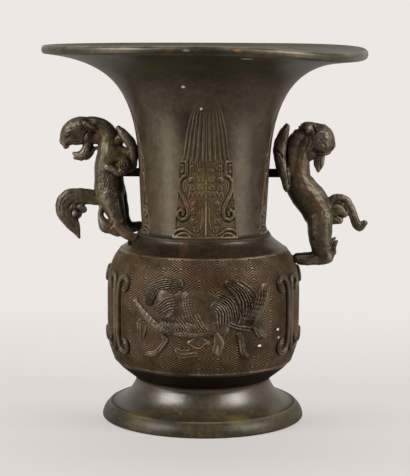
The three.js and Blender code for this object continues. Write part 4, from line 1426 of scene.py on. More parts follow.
@dataclass
class LeafPanel:
    """A tall leaf on the neck: ribs above, scrolls and hatching below, cast in one with it."""

    outlines: VaseOutline
    low: float = 119.9
    border: float = 168.4
    top: float = 210.0
    columns: int = 132
    row_count: int = 240
    coarse: int = 12
    margin: float = 1.06
    ground: float = 0.07
    hidden: float = 0.8
    backing: float = 1.5
    rib_height: float = 0.4
    rib_half_width: float = 0.62
    hatch_pitch: float = 1.45
    hatch_height: float = 0.24
    curl_radius: float = 2.1
    widths: tuple[Pair, ...] = (
        (118.0, 30.6),
        (121.0, 30.4),
        (150.0, 25.4),
        (168.2, 23.6),
        (169.2, 21.2),
        (171.5, 19.9),
        (185.5, 16.6),
        (196.0, 12.6),
        (203.0, 8.6),
        (208.0, 5.0),
        (211.0, 3.0),
    )

    def hatching(self, where: np.ndarray) -> np.ndarray:
        """Returns fine lines that follow the S scroll, and a zigzag across the middle."""
        side, _ = measure_path(where, eased(PANEL_S_BAND))
        away = np.abs(side)
        lines = np.clip(np.cos(2 * np.pi * away / self.hatch_pitch), 0.0, 1.0) * smooth_step(1.5, 2.0, away)
        points = [(1.3 * k, 149.6 if k % 2 else 146.8) for k in range(9)]
        zigzag = stroke_heights(where, [Stroke(tuple(points), 0.55, 1.6, 0.0)])
        clear = stroke_heights(where, [Stroke(((0.0, 148.2), (10.6, 148.2)), 2.5, 1.0, 0.0)])
        return self.hatch_height * np.maximum(lines * (clear < 0.1), zigzag)

    def carving(self, share: np.ndarray, across: np.ndarray, height: np.ndarray) -> np.ndarray:
        """Measures the panel's carving.

        Args:
            share: place between the panel's middle, 0, and its edges, 1.
            across: millimetres from the panel's middle.
            height: height in millimetres.

        Returns:
            How far the panel stands off the neck, below it outside the leaf.
        """
        side, half = np.abs(share), np.abs(across) / np.maximum(np.abs(share), 1e-3)
        where = np.column_stack([np.abs(across), height])
        upper = smooth_step(self.border - 0.3, self.border + 0.3, height)
        rib = np.zeros(len(side))
        for place in PANEL_RIBS:
            off = (side - place) * half / self.rib_half_width
            rib = np.maximum(rib, np.clip(1.0 - off**2, 0.0, 1.0))
        rib = self.rib_height * np.sqrt(rib) * smooth_step(208.0, 192.0, height)
        edge = np.sqrt(np.clip(1.0 - ((side - 0.965) * half / 0.5) ** 2, 0.0, 1.0))
        foot_line = np.sqrt(np.clip(1.0 - ((height - self.low - 0.9) / 0.6) ** 2, 0.0, 1.0))
        bands = stroke_heights(where, list(PANEL_BANDS))
        moat = stroke_heights(where, [Stroke(b.path, b.half_width + 0.6, 1.0, 0.0) for b in PANEL_BANDS])
        free = 1.0 - smooth_step(0.1, 0.6, moat)
        curls, beds = [], []
        for x, z, start, way in PANEL_CURLS:
            curls.append(Stroke(spiral((x, z), self.curl_radius, 1.3, start, way), 0.5, 0.42, 0.2))
            beds.append(Stroke(((x, z), (x + 0.1, z)), self.curl_radius + 0.5, 1.0, 0.0))
        bed = stroke_heights(where, beds)
        fine = np.where(bed > 0.05, stroke_heights(where, curls), self.hatching(where)) * free
        lower = np.maximum(np.maximum(bands, fine), 0.5 * np.maximum(edge, foot_line))
        high = self.ground + np.where(upper > 0.5, rib, lower)
        inside = smooth_step(1.0, 0.975, side) * smooth_step(self.low, self.low + 0.4, height)
        inside *= smooth_step(self.top, self.top - 4.0, height)
        return -self.hidden + (self.hidden + high) * inside

    def build(self, name: str, bearing: float) -> bpy.types.Object:
        """Returns the panel.

        Args:
            name: the piece's name.
            bearing: its middle round the neck in degrees.
        """
        piece, where = add_relief(name, self.columns, self.row_count, self.coarse)
        outer = self.outlines.neck()
        share = self.margin * (2.0 * where[:, 0] / self.columns - 1.0)
        height = self.low - 0.4 + (self.top - self.low + 0.8) * where[:, 1] / self.row_count
        table = np.array(self.widths)
        turn = share * np.radians(np.interp(height, table[:, 0], table[:, 1]))
        along = outer.length_at(height)
        stand = self.carving(share, turn * outer.radius_at(height), height)
        stand[where[:, 2] > 0] = -self.backing
        finish_relief(piece, wrap(outer, along, math.radians(bearing) + turn, stand), 8, 0.22)
        return piece


# How far the cast rim lifts or sags round the mouth, as (bearing, millimetres)

RIM_WARP: tuple[Pair, ...] = (
    (-180.0, 0.0), (-145.0, 0.5), (-110.0, 1.5), (-85.0, 1.5), (-65.0, 0.2), (-48.0, -2.0), (-30.0, -3.1),
    (-12.0, -2.4), (10.0, -0.4), (40.0, 0.5), (90.0, 0.2), (180.0, 0.0),
)


@dataclass
class Neck:
    """The trumpet neck, its cast mouth a little out of true."""

    outlines: VaseOutline
    columns: int = 216
    wall: float = 4.0
    shaft_z: float = 125.0
    flare_z: float = 205.0
    throat_z: float = 127.0
    cove_rows: int = 16
    shaft_rows: int = 60
    flare_rows: int = 44
    throat_rows: int = 24
    spigot_bore: float = 35.3
    spigot: float = 37.3
    spigot_z: float = 112.0

    def rows(self) -> np.ndarray:
        """Returns the closed outline's (radius, height) rows."""
        outer = self.outlines.neck()
        cove_end = outer.length_at(self.shaft_z)
        flare = outer.length_at(self.flare_z)
        along = np.concatenate(
            [
                np.linspace(0.0, cove_end, self.cove_rows, endpoint=False),
                np.linspace(cove_end, flare, self.shaft_rows, endpoint=False),
                np.linspace(flare, outer.along[-1], self.flare_rows),
            ]
        )
        outside = outer.at(along)
        half = self.outlines.lip / 2
        angles = np.linspace(-math.pi / 2, math.pi / 2, 12)[1:]
        flat = np.sign(np.cos(angles)) * np.abs(np.cos(angles)) ** 0.7
        lip = np.column_stack(
            [self.outlines.mouth - half + half * flat, self.outlines.lip_z - half + half * np.sin(angles)]
        )
        throat_along = np.linspace(outer.along[-1] - 3.0, outer.length_at(self.throat_z), self.throat_rows)
        throat = outer.at(throat_along) - self.wall * outer.outward(throat_along)
        seat = (self.spigot, self.outlines.collar_z)
        spigot = np.array([(self.spigot_bore, self.spigot_z), (self.spigot, self.spigot_z), seat])
        return np.vstack([outside, lip, throat, spigot, outside[:1]])

    def build(self) -> bpy.types.Object:
        """Returns the neck, wrapped from one sheet."""
        places = self.rows()
        piece, column, row = add_sheet("neck_casting", self.columns, len(places) - 1)
        turn = 2 * math.pi * column / self.columns - math.pi
        radius, height = places[row, 0], places[row, 1]
        bend = eased(RIM_WARP, 8)
        spread = smooth_step(60.0, 101.0, radius) * smooth_step(200.0, 222.0, height)
        rise = height + spread * np.interp(np.degrees(turn), bend[:, 0], bend[:, 1])
        points = np.column_stack([radius * np.cos(turn), radius * np.sin(turn), rise])
        place_points(piece, points)
        rim = np.exp(-(((radius - self.outlines.mouth + 1.2) / 1.3) ** 2)) * (height > 236.0)
        under = np.exp(-(((radius - self.outlines.mouth + 1.0) / 1.3) ** 2)) * (np.abs(height - 233.2) < 0.9)
        # Low relief in the cove below the neck's ring paints shade there through the wear group.
        root = smooth_step(123.5, 120.5, height) * smooth_step(43.4, 42.2, radius)
        store(piece, Channel.RELIEF, 0.5 + 0.45 * rim + 0.2 * under - 0.3 * root)
        close_shell(piece, 1e-5)
        shade(piece, 50.0)
        return piece


@dataclass
class Scroll:
    """A moulding of two C scrolls back to back, laid on the drum."""

    outlines: VaseOutline
    centre_z: float = 72.0
    height: float = 48.4
    half_width: float = 1.7
    parting: float = 1.0
    curl: float = 5.2
    turns: float = 0.8
    steps: int = 26
    section: Path = (
        (-1.0, -0.5),
        (-1.02, 0.9),
        (-0.8, 1.75),
        (-0.52, 2.1),
        (-0.25, 1.75),
        (0.0, 1.5),
        (0.25, 1.75),
        (0.52, 2.1),
        (0.8, 1.75),
        (1.02, 0.9),
        (1.0, -0.5),
    )

    def centre_line(self, way: int) -> np.ndarray:
        """Returns one C's line of (across, up) from eye to eye, opening to the side of way."""
        bar = 0.92 * self.half_width
        parted = bar + self.parting
        curl_up = self.height / 2 - self.curl
        ends = []
        for k in range(self.steps + 1):
            share = k / self.steps
            angle = 2 * math.pi * self.turns * (1.0 - share)
            reach = self.curl * (0.46 + 0.54 * share**0.8)
            ends.append((parted + self.curl - reach * math.cos(angle), curl_up + reach * math.sin(angle)))
        top = np.array(ends)
        level = np.linspace(1.0, -1.0, 25)[1:-1]
        straight = np.column_stack([bar + self.parting * level**4, curl_up * level])
        low = top[::-1] * (1.0, -1.0)
        return np.vstack([top, straight, low]) * (way, 1.0)

    def strip(self, way: int) -> bpy.types.Object:
        """Returns one C, still flat, with its stroke's section swept along its line."""
        line = self.centre_line(way)
        section = np.array(self.section)
        count = len(section)
        piece, column, row = add_sheet("scroll_strip", count, len(line) - 1)
        tangent = np.gradient(line, axis=0)
        tangent /= np.linalg.norm(tangent, axis=1)[:, None]
        side = np.column_stack([-tangent[:, 1], tangent[:, 0]])
        end = np.minimum(np.arange(len(line)), np.arange(len(line))[::-1])
        bulb = np.exp(-(((end - 3.0) / 2.6) ** 2))
        width = self.half_width * (0.72 + 0.28 * np.clip(end / 18.0, 0.0, 1.0) + 0.42 * bulb)
        cap = (end > 0).astype(float)
        part = section[column % count]
        spread = part[:, 0] * width[row] * cap[row]
        flat = line[row] + side[row] * spread[:, None]
        proud = np.where(cap[row] > 0, part[:, 1], -0.5)
        place_points(piece, np.column_stack([flat, proud]))
        # Low relief at the foot of each stroke and high relief on its crests: painted shadow along the bars'
        # edges and painted highlights on their ridges, with grime and rubbed wear.
        store(piece, Channel.RELIEF, np.interp(part[:, 1], (0.0, 1.5, 2.1), (0.2, 0.42, 0.85)))
        close_shell(piece, 1e-6)
        return piece

    def build(self, name: str, bearing: float) -> bpy.types.Object:
        """Returns a finished moulding.

        Args:
            name: the piece's name.
            bearing: its place round the drum in degrees.
        """
        piece = join(name, [self.strip(1), self.strip(-1)])
        flat = points_of(piece)
        outer = self.outlines.body()
        height = self.centre_z + flat[:, 1]
        along = outer.length_at(height)
        turn = math.radians(bearing) + flat[:, 0] / self.outlines.drum
        place_points(piece, wrap(outer, along, turn, flat[:, 2]))
        close_shell(piece, 1e-6)
        shade(piece, 60.0)
        return piece


# Handles


@dataclass(frozen=True)
class Limb:
    """A rounded form through stations of (out, side, up, radius), narrowed sideways by flat."""

    stations: tuple[Station, ...]
    flat: float = 1.0
    mirror: bool = False


@dataclass
class Lion:
    """A lion handle, modelled as rounded limbs, melted together and carved from its sides."""

    name: str
    node: str
    way: int
    limbs: tuple[Limb, ...]
    carving: tuple[Stroke, ...]
    olive: tuple[Station, ...]
    rusty: tuple[Station, ...]
    voxel: float = 0.42
    rounds: int = 6
    segments: int = 18
    clearance: float = 0.05
    lump_size: float = 5.0
    lump_height: float = 0.9

    def stretched_ball(self, limb: Limb, side: float) -> bpy.types.Object:
        """Adds a ball and stretches it along a limb.

        Args:
            limb: the form to follow.
            side: 1, or -1 for the same limb on the other side.

        Returns:
            The limb as an object.
        """
        stations = np.array(limb.stations, float)
        if len(stations) == 1:
            stations = np.vstack([stations, stations + (0.01, 0.0, 0.01, 0.0)])
        spine = eased(stations, 8)
        rings = max(14, 5 * len(stations))
        deselect_all()
        bpy.ops.mesh.primitive_uv_sphere_add(segments=self.segments, ring_count=rings, radius=1.0)
        ball = bpy.context.object
        unit = points_of(ball) * MM
        polar = np.arccos(np.clip(unit[:, 2], -1.0, 1.0)) / math.pi
        around = np.arctan2(unit[:, 1], unit[:, 0])
        cap = 0.16
        along = np.clip((polar - cap) / (1.0 - 2.0 * cap), 0.0, 1.0)
        count = len(spine) - 1
        place = np.array([np.interp(along, np.linspace(0, 1, count + 1), spine[:, k]) for k in range(4)]).T
        way = np.gradient(spine[:, :3], axis=0)
        way /= np.maximum(np.linalg.norm(way, axis=1), 1e-9)[:, None]
        tangent = np.array([np.interp(along, np.linspace(0, 1, count + 1), way[:, k]) for k in range(3)]).T
        tangent /= np.linalg.norm(tangent, axis=1)[:, None]
        lateral = np.array([0.0, 1.0, 0.0]) - tangent * tangent[:, 1:2]
        lateral /= np.maximum(np.linalg.norm(lateral, axis=1), 1e-6)[:, None]
        face = np.cross(lateral, tangent)
        start = np.clip(1.0 - polar / cap, 0.0, 1.0)
        end = np.clip(1.0 - (1.0 - polar) / cap, 0.0, 1.0)
        lift = (end - start) * math.pi / 2
        radius = place[:, 3]
        girth = (radius * np.cos(lift))[:, None]
        reach = (radius * np.sin(lift))[:, None]
        shift = face * np.cos(around)[:, None] + lateral * (limb.flat * np.sin(around))[:, None]
        points = place[:, :3] + girth * shift + reach * tangent
        points[:, 1] *= side
        place_points(ball, np.column_stack([self.way * points[:, 0], -points[:, 1], points[:, 2]]))
        return ball

    def carve(self, piece: bpy.types.Object) -> np.ndarray:
        """Carves hair, face and toes into the sides, and returns how high each place was lifted."""
        points, normals = points_of(piece), normals_of(piece)
        where = np.column_stack([self.way * points[:, 0], points[:, 2]])
        sideways = smooth_step(0.12, 0.5, np.abs(normals[:, 1]))
        raised = [stroke for stroke in self.carving if stroke.height > 0]
        cut = [replace(stroke, height=-stroke.height) for stroke in self.carving if stroke.height < 0]
        lift = (stroke_heights(where, raised) - stroke_heights(where, cut)) * sideways
        place_points(piece, points + normals * lift[:, None])
        return lift

    def keep_clear(self, piece: bpy.types.Object, vessel: Outline) -> None:
        """Presses whatever reaches into the vase back to its face."""
        points = points_of(piece)
        radius = np.hypot(points[:, 0], points[:, 1])
        least = vessel.radius_at(points[:, 2]) + self.clearance
        grow = np.maximum(least / np.maximum(radius, 1e-6), 1.0)
        points[:, :2] *= grow[:, None]
        place_points(piece, points)

    def build(self, vessel: Outline) -> bpy.types.Object:
        """Returns the finished handle.

        Args:
            vessel: the outline of body and neck, which the handle stays out of.
        """
        balls = []
        for limb in self.limbs:
            balls.append(self.stretched_ball(limb, 1.0))
            if limb.mirror:
                balls.append(self.stretched_ball(limb, -1.0))
        piece = join(self.name, balls)
        shape_modifier(piece, "REMESH", mode="VOXEL", voxel_size=self.voxel * MM)
        shape_modifier(piece, "SMOOTH", factor=0.5, iterations=self.rounds)
        lumps = bpy.data.textures.new(f"{self.name}_lumps", "CLOUDS")
        lumps.noise_scale = self.lump_size * MM
        lumps.noise_depth = 2
        height = self.lump_height * MM
        bumpy = {"texture": lumps, "texture_coords": "LOCAL", "mid_level": 0.5}
        shape_modifier(piece, "DISPLACE", strength=height, **bumpy)
        lift = self.carve(piece)
        self.keep_clear(piece, vessel)
        relief = hollowness(piece, 24, 0.5)
        store(piece, Channel.RELIEF, np.clip(relief + 0.25 * lift, 0.0, 1.0))
        places = points_of(piece)
        store(piece, Channel.ORNAMENT, 0.8 * zone_share(places, self.olive))
        store(piece, Channel.FLECK, 0.5 * zone_share(places, self.rusty))
        shade(piece)
        return piece


def hair(corner: Pair, along: Pair, across: Pair, rows: int, count: int, strand: Pair) -> tuple[Stroke, ...]:
    """Lays out a patch of short hairs in staggered rows.

    Args:
        corner: where the first row starts.
        along: the way from one end of a row to the other.
        across: the way from the first row to the last.
        rows: how many rows there are.
        count: hairs in each row.
        strand: the way that each hair runs.

    Returns:
        The hairs as cut strokes.
    """
    cut = []
    for r in range(rows):
        for k in range(count):
            share, down = (k + 0.5 * (r % 2)) / count, r / max(rows - 1, 1)
            x = corner[0] + share * along[0] + down * across[0]
            z = corner[1] + share * along[1] + down * across[1]
            cut.append(Stroke(((x, z), (x + strand[0], z + strand[1])), 0.38, -0.2, 0.5))
    return tuple(cut)


# Where the lions' patina turns olive or rusty, as (x, y, z, radius)

LEFT_OLIVE = ((-54.0, -7.0, 167.0, 11.0), (-59.0, -6.0, 177.0, 8.0), (-66.0, -3.0, 141.0, 9.0))
LEFT_RUST = ((-57.0, -10.0, 125.0, 7.0), (-48.0, -12.0, 118.0, 6.0), (-66.0, -5.0, 182.0, 5.0))
RIGHT_OLIVE = ((86.0, -4.0, 135.0, 8.0), (60.0, -8.0, 171.0, 5.0))
RIGHT_RUST = ((60.0, -7.0, 161.0, 8.0), (66.0, -8.0, 149.0, 7.0), (72.0, -9.0, 138.0, 6.0))


LEFT_LIMBS: tuple[Limb, ...] = (
    Limb(((60.6, 0, 179.4, 6.3), (60.2, 0, 173.0, 7.9), (60.0, 0, 167.8, 8.7), (61.1, 0, 162.0, 9.0),
        (60.9, 0, 156.2, 9.2), (60.7, 0, 149.8, 9.7), (60.4, 0, 143.3, 9.7), (59.7, 0, 138.8, 8.6)),
        0.92),
    Limb(((60.4, 0, 177.2, 6.4), (61.2, 0, 182.0, 5.9), (64.6, 0, 185.4, 5.6), (68.8, 0, 187.5, 5.4),
        (73.0, 0, 188.0, 5.0))),
    Limb(((73.0, 0, 186.6, 6.0), (78.1, 0, 185.6, 7.5), (83.2, 0, 184.4, 6.8), (87.0, 0, 181.1, 5.5),
        (89.6, 0, 177.3, 2.9)), 0.92),
    Limb(((74.0, 0, 180.5, 5.2), (70.5, 0, 179.8, 4.4), (66.0, 0, 179.4, 4.6))),
    Limb(((74.9, 0, 181.3, 5.4), (80.0, 0, 179.4, 4.7), (83.8, 0, 179.4, 4.8), (87.7, 0, 176.8, 3.2)),
        1.05),
    Limb(((88.5, 0, 176.4, 2.6), (88.1, 0, 174.1, 2.3)), 1.2),
    Limb(((72.8, 0, 177.5, 3.2), (74.6, 0, 173.2, 3.2), (76.0, 0, 169.6, 3.8), (79.4, 0, 168.2, 3.0),
        (83.0, 0, 169.2, 1.3)), 1.1),
    Limb(((78.5, 0, 166.8, 2.4), (82.6, 0, 166.4, 1.1)), 1.2),
    Limb(((75.4, 0, 168.0, 3.1), (72.8, 0, 169.8, 2.3), (70.6, 0, 172.0, 1.6), (68.4, 0, 173.2, 0.9))),
    Limb(((75.5, 6.2, 189.1, 1.4), (71.7, 6.6, 187.2, 1.5), (68.2, 6.2, 185.3, 0.7)), 0.8, True),
    Limb(((54.6, 4.5, 186.0, 1.7), (51.8, 5.0, 182.8, 3.0), (48.6, 5.5, 178.6, 3.3),
        (46.0, 5.5, 174.2, 2.9), (45.2, 5.5, 170.4, 2.6), (45.2, 5.5, 165.2, 2.8),
        (46.4, 5.5, 160.8, 3.0), (53.0, 5.0, 161.5, 4.0))),
    Limb(((54.4, -4.5, 184.0, 1.6), (50.0, -5.0, 180.0, 2.8), (46.0, -5.5, 174.9, 2.7),
        (44.8, -5.5, 168.0, 2.6), (47.0, -5.5, 160.6, 2.8), (54.0, -5.0, 162.0, 3.8))),
    Limb(((59.0, 2.0, 169.5, 7.0), (53.4, 3.6, 167.4, 5.2), (48.2, 4.6, 165.0, 3.8)), 1.0),
    Limb(((57.0, 1.0, 176.0, 5.0), (53.2, 2.6, 179.0, 3.4), (50.4, 3.8, 179.6, 2.6))),
    Limb(((54.5, 2.6, 171.0, 4.6), (51.0, 3.8, 170.4, 3.6), (47.6, 4.8, 170.0, 3.0))),
    Limb(((61.5, 7.6, 161.4, 2.6), (57.6, 8.8, 159.8, 2.2), (54.2, 9.4, 157.9, 2.5),
        (51.7, 9.2, 159.3, 3.0), (50.6, 8.8, 162.9, 4.3))),
    Limb(((60.0, 3.5, 142.7, 8.2), (57.7, 5.4, 136.3, 7.1), (55.4, 7.4, 129.8, 5.6),
        (54.0, 9.0, 124.4, 4.8), (52.6, 10.2, 121.9, 3.8), (48.8, 11.4, 118.9, 3.3),
        (45.2, 12.0, 117.2, 3.1), (43.2, 12.4, 117.2, 2.6)), 0.95),
    Limb(((65.2, 6.0, 135.6, 1.9), (65.5, 6.6, 129.6, 2.0), (62.6, 8.0, 123.8, 4.3),
        (59.2, 9.2, 122.6, 3.7), (54.6, 10.2, 120.3, 3.1)), 0.9),
    Limb(((56.4, -4.5, 146.8, 6.0), (54.2, -5.5, 138.8, 5.2), (52.6, -7.0, 132.3, 4.2),
        (51.0, -8.8, 126.0, 3.5), (48.0, -10.5, 121.2, 3.4), (44.4, -12.0, 120.6, 3.5),
        (42.0, -12.6, 121.2, 3.1)), 0.95),
    Limb(((62.7, 0, 140.8, 4.9), (68.5, 0, 140.8, 4.8), (73.6, 0, 141.5, 5.1), (79.4, 0, 141.7, 5.4),
        (85.6, 0, 141.1, 5.6), (89.2, 0, 137.7, 5.7), (88.8, 0, 132.4, 6.1), (86.5, 0, 127.9, 5.6),
        (83.5, 0, 122.7, 4.2), (81.3, 0, 118.2, 2.4), (79.8, 0, 114.8, 0.8)), 0.62),
    Limb(((84.0, 0.0, 134.6, 4.2), (81.6, 0.0, 130.4, 3.6)), 0.8),
    Limb(((82.4, 2.4, 131.1, 2.4),), 1.0, True),
    Limb(((79.5, 0.0, 135.0, 3.0), (77.2, 0.0, 133.2, 2.5))),
)

LEFT_CARVING: tuple[Stroke, ...] = (
    Stroke(((66.0, 141.6), (74.0, 143.6), (82.0, 144.2), (88.6, 141.6), (91.8, 135.4), (90.4, 128.6),
        (86.0, 122.0), (81.4, 116.6)), 0.5, -0.2),
    Stroke(((68.0, 140.4), (76.0, 142.0), (83.0, 141.8), (88.0, 138.4), (89.2, 132.6), (87.0, 126.8),
        (83.0, 120.8), (80.6, 117.0)), 0.5, -0.12),
    Stroke(((72.0, 139.4), (78.0, 139.8), (83.0, 139.0), (86.0, 135.8), (86.6, 131.0), (84.6, 125.6),
        (81.6, 120.6)), 0.5, -0.16),
    Stroke(((78.0, 137.6), (82.0, 136.6), (84.4, 133.6)), 0.5, -0.4),
    Stroke(((79.4, 132.0), (82.0, 134.0), (84.8, 132.2), (84.4, 128.8)), 0.5, -0.45),
    Stroke(((63.0, 187.6), (68.0, 190.0), (74.0, 191.0)), 0.45, -0.4),
    Stroke(((62.4, 184.6), (67.0, 187.4), (72.0, 188.4)), 0.45, -0.4),
    Stroke(((62.0, 181.4), (66.0, 184.0), (69.6, 184.8)), 0.45, -0.4),
    Stroke(((83.4, 184.6), (86.2, 183.6), (88.6, 181.4)), 0.7, 0.6),
    Stroke(((86.0, 181.8), (87.2, 181.2)), 0.9, 0.55, 0.0),
    Stroke(((84.2, 182.2), (86.6, 180.0), (88.8, 179.6)), 0.4, -0.4),
    Stroke(((90.6, 177.2), (91.2, 178.2)), 0.6, -0.5, 0.0),
    Stroke(((79.0, 177.0), (83.0, 177.4), (86.8, 175.8), (88.4, 173.8)), 0.45, -0.4),
    Stroke(((73.4, 184.4), (76.0, 181.0), (76.6, 177.2)), 0.55, -0.5),
    Stroke(((75.2, 173.0), (76.8, 169.4), (80.0, 168.0)), 0.4, -0.4),
    Stroke(((70.0, 173.0), (72.8, 171.0), (75.2, 170.2)), 0.35, -0.3),
    Stroke(spiral((50.6, 162.9), 3.2, 1.5, 250.0, 1), 0.5, -0.8, 0.0),
    Stroke(((58.2, 159.4), (55.0, 157.4), (52.6, 157.8)), 0.35, -0.35),
    Stroke(((43.6, 118.2), (45.6, 117.8)), 0.35, -0.4),
    Stroke(((43.2, 116.6), (45.6, 116.2)), 0.35, -0.4),
    Stroke(((57.6, 128.0), (58.6, 124.2), (60.4, 121.8)), 0.45, -0.4),
    *hair((78.0, 190.4), (7.0, -5.4), (-1.6, -3.4), 3, 6, (-0.9, -1.9)),
    *hair((57.0, 158.4), (9.6, 0.8), (-0.6, -11.0), 6, 6, (0.5, -1.6)),
)

RIGHT_LIMBS: tuple[Limb, ...] = (
    Limb(((60.6, 0, 172.5, 7.4), (59.8, 0, 165.4, 7.6), (59.6, 0, 159.0, 8.0), (60.2, 0, 152.5, 9.2),
        (64.2, 0, 145.5, 10.2), (69.4, 0, 139.0, 10.5), (73.6, 0, 131.5, 9.9)), 0.92),
    Limb(((60.6, 0, 172.5, 7.0), (65.6, 0, 176.8, 7.2), (70.5, 0, 179.0, 7.6))),
    Limb(((72.2, 0, 181.0, 9.0), (74.0, 0, 179.0, 9.4), (74.4, 0, 177.0, 8.8)), 0.95),
    Limb(((65.0, 1.6, 186.0, 4.6), (69.0, 1.2, 186.2, 3.8)), 1.2, True),
    Limb(((77.0, 0, 176.2, 5.8), (79.2, 0, 175.6, 4.6)), 1.1),
    Limb(((66.2, 0, 170.6, 5.6), (72.0, 0, 172.4, 4.4))),
    Limb(((75.6, 0, 171.6, 3.4), (78.4, 0, 171.8, 2.8)), 1.1),
    Limb(((73.8, 2.0, 170.4, 3.3), (73.2, 2.6, 165.2, 3.5), (72.9, 2.6, 161.8, 2.7),
        (72.7, 2.6, 159.4, 1.2)), 0.5, True),
    Limb(((52.6, 5.2, 187.8, 1.5), (51.0, 5.4, 183.6, 2.9), (49.2, 5.6, 178.6, 3.6),
        (48.0, 5.8, 173.2, 3.9), (48.0, 5.8, 168.2, 3.7), (48.9, 6.0, 163.9, 3.8),
        (49.8, 6.2, 159.6, 3.8), (51.4, 6.4, 154.6, 3.0), (52.2, 6.0, 150.3, 2.4),
        (52.6, 5.0, 147.2, 1.6)), 0.9, True),
    Limb(((61.5, 0.6, 181.0, 5.4), (58.2, 1.2, 177.0, 5.6), (56.0, 1.6, 169.0, 5.8),
        (56.0, 1.6, 158.0, 5.6), (58.0, 1.6, 151.6, 5.0)), 0.95, True),
    Limb(((74.4, 4.0, 129.1, 8.6), (74.4, 5.6, 122.7, 7.8), (74.6, 6.4, 116.4, 7.2),
        (75.7, 6.8, 110.9, 6.8), (76.6, 7.0, 107.6, 6.3), (78.6, 7.0, 105.4, 5.0)), 0.82, True),
    Limb(((78.6, 7.0, 104.6, 4.6), (74.1, 7.0, 103.0, 3.9), (68.4, 7.0, 102.3, 3.3),
        (63.4, 7.0, 102.2, 3.2), (60.4, 7.0, 102.6, 2.7)), 1.1, True),
    Limb(((80.5, 0, 137.2, 4.5), (82.8, 0, 140.2, 3.5), (86.4, 0, 141.5, 3.0), (90.4, 0, 140.2, 3.0),
        (93.5, 0, 136.0, 3.0), (95.7, 0, 130.4, 2.9), (97.7, 0, 125.4, 3.0), (100.1, 0, 122.8, 2.8),
        (103.0, 0, 125.6, 2.1)), 0.85),
    Limb(((81.4, 0, 134.6, 5.6), (86.2, 0, 134.4, 5.2), (89.4, 0, 132.6, 3.8)), 0.9),
    Limb(((82.0, 0, 129.0, 4.4), (86.6, 0, 127.6, 3.0)), 0.9),
    Limb(((82.2, 7.0, 110.5, 2.6), (83.7, 7.4, 113.4, 1.8), (84.9, 7.4, 115.0, 0.9)), 0.8, True),
    Limb(((82.4, 7.0, 107.5, 2.6), (83.4, 7.4, 111.2, 1.4)), 0.8, True),
    Limb(((61.6, 1.0, 182.0, 3.4), (58.6, 1.4, 184.0, 1.7), (57.4, 1.4, 183.4, 0.8)), 1.3, True),
    Limb(((60.4, 1.0, 179.0, 3.4), (56.4, 1.4, 180.2, 1.8), (54.4, 1.4, 179.6, 0.9)), 1.3, True),
    Limb(((59.4, 1.0, 175.8, 3.6), (55.4, 1.4, 176.2, 1.8), (53.8, 1.4, 175.2, 0.9)), 1.3, True),
    Limb(((62.5, 3.0, 184.6, 2.4), (60.6, 3.4, 186.8, 0.9)), 1.0, True),
)

RIGHT_CARVING: tuple[Stroke, ...] = (
    Stroke(((71.0, 183.4), (73.4, 184.6), (76.4, 183.6)), 1.0, 0.5),
    Stroke(((76.4, 181.4), (78.0, 180.6)), 1.2, 0.4, 0.0),
    Stroke(((72.8, 179.8), (73.8, 179.3)), 0.7, -0.6, 0.0),
    Stroke(((75.6, 176.6), (76.3, 176.2)), 0.7, -0.6, 0.0),
    Stroke(((70.8, 178.0), (73.0, 177.0), (75.2, 177.6)), 0.4, -0.35),
    Stroke(((69.6, 171.0), (73.0, 171.6), (77.0, 170.8), (80.6, 172.6), (82.6, 176.4)), 0.5, -0.5),
    Stroke(((73.9, 167.4), (73.9, 164.0), (73.7, 160.4)), 0.4, -0.35),
    Stroke(((68.6, 188.6), (69.6, 186.0), (70.2, 183.0)), 0.8, -0.6),
    Stroke(((67.4, 183.2), (68.4, 179.0), (67.2, 174.6)), 0.6, -0.4),
    Stroke(((65.4, 182.0), (65.6, 177.8), (63.6, 174.0)), 0.5, -0.35),
    Stroke(((50.4, 182.6), (52.4, 186.2)), 0.35, -0.35),
    Stroke(((48.2, 178.0), (50.8, 180.6)), 0.35, -0.35),
    Stroke(((45.6, 172.6), (48.4, 170.4), (49.6, 168.0)), 0.7, -0.7),
    Stroke(((52.6, 176.0), (52.4, 168.0), (52.8, 160.0), (54.0, 151.0)), 0.7, -0.8),
    Stroke(((60.4, 103.0), (63.4, 102.4)), 0.35, -0.45),
    Stroke(((60.0, 101.4), (63.0, 100.8)), 0.35, -0.45),
    Stroke(((82.0, 138.4), (86.4, 140.6), (90.6, 138.8), (93.4, 134.4), (95.4, 128.6), (98.0, 123.6)),
        0.4, -0.4),
    Stroke(((82.4, 138.4), (86.0, 138.6), (89.6, 136.6), (91.4, 133.4)), 0.6, -0.7),
    Stroke(((83.2, 133.6), (86.4, 131.0), (88.4, 129.4)), 0.45, -0.4),
    Stroke(((82.4, 131.0), (85.6, 128.4), (87.4, 127.0)), 0.45, -0.4),
    Stroke(((79.0, 126.4), (80.2, 121.0), (79.4, 115.6)), 0.5, -0.35),
    Stroke(((83.0, 109.0), (82.0, 112.0), (83.4, 114.6)), 0.4, -0.4),
)


# Studio


@dataclass(frozen=True)
class SoftLight:
    """A soft light: its bearing from the camera in degrees, and its place and size in millimetres."""

    name: str
    bearing: float
    distance: float
    height: float
    size: Pair
    power: float


LIGHTS: tuple[SoftLight, ...] = (
    SoftLight("left_strip_light", -64.0, 1150.0, -40.0, (460.0, 700.0), 6.5),
    SoftLight("right_strip_light", 67.0, 1150.0, -40.0, (460.0, 700.0), 5.0),
    SoftLight("left_high_light", -60.0, 940.0, 740.0, (600.0, 520.0), 14.0),
    SoftLight("right_high_light", 62.0, 940.0, 740.0, (600.0, 520.0), 14.0),
    SoftLight("back_soft_light", 180.0, 850.0, 1400.0, (1400.0, 800.0), 4.0),
)


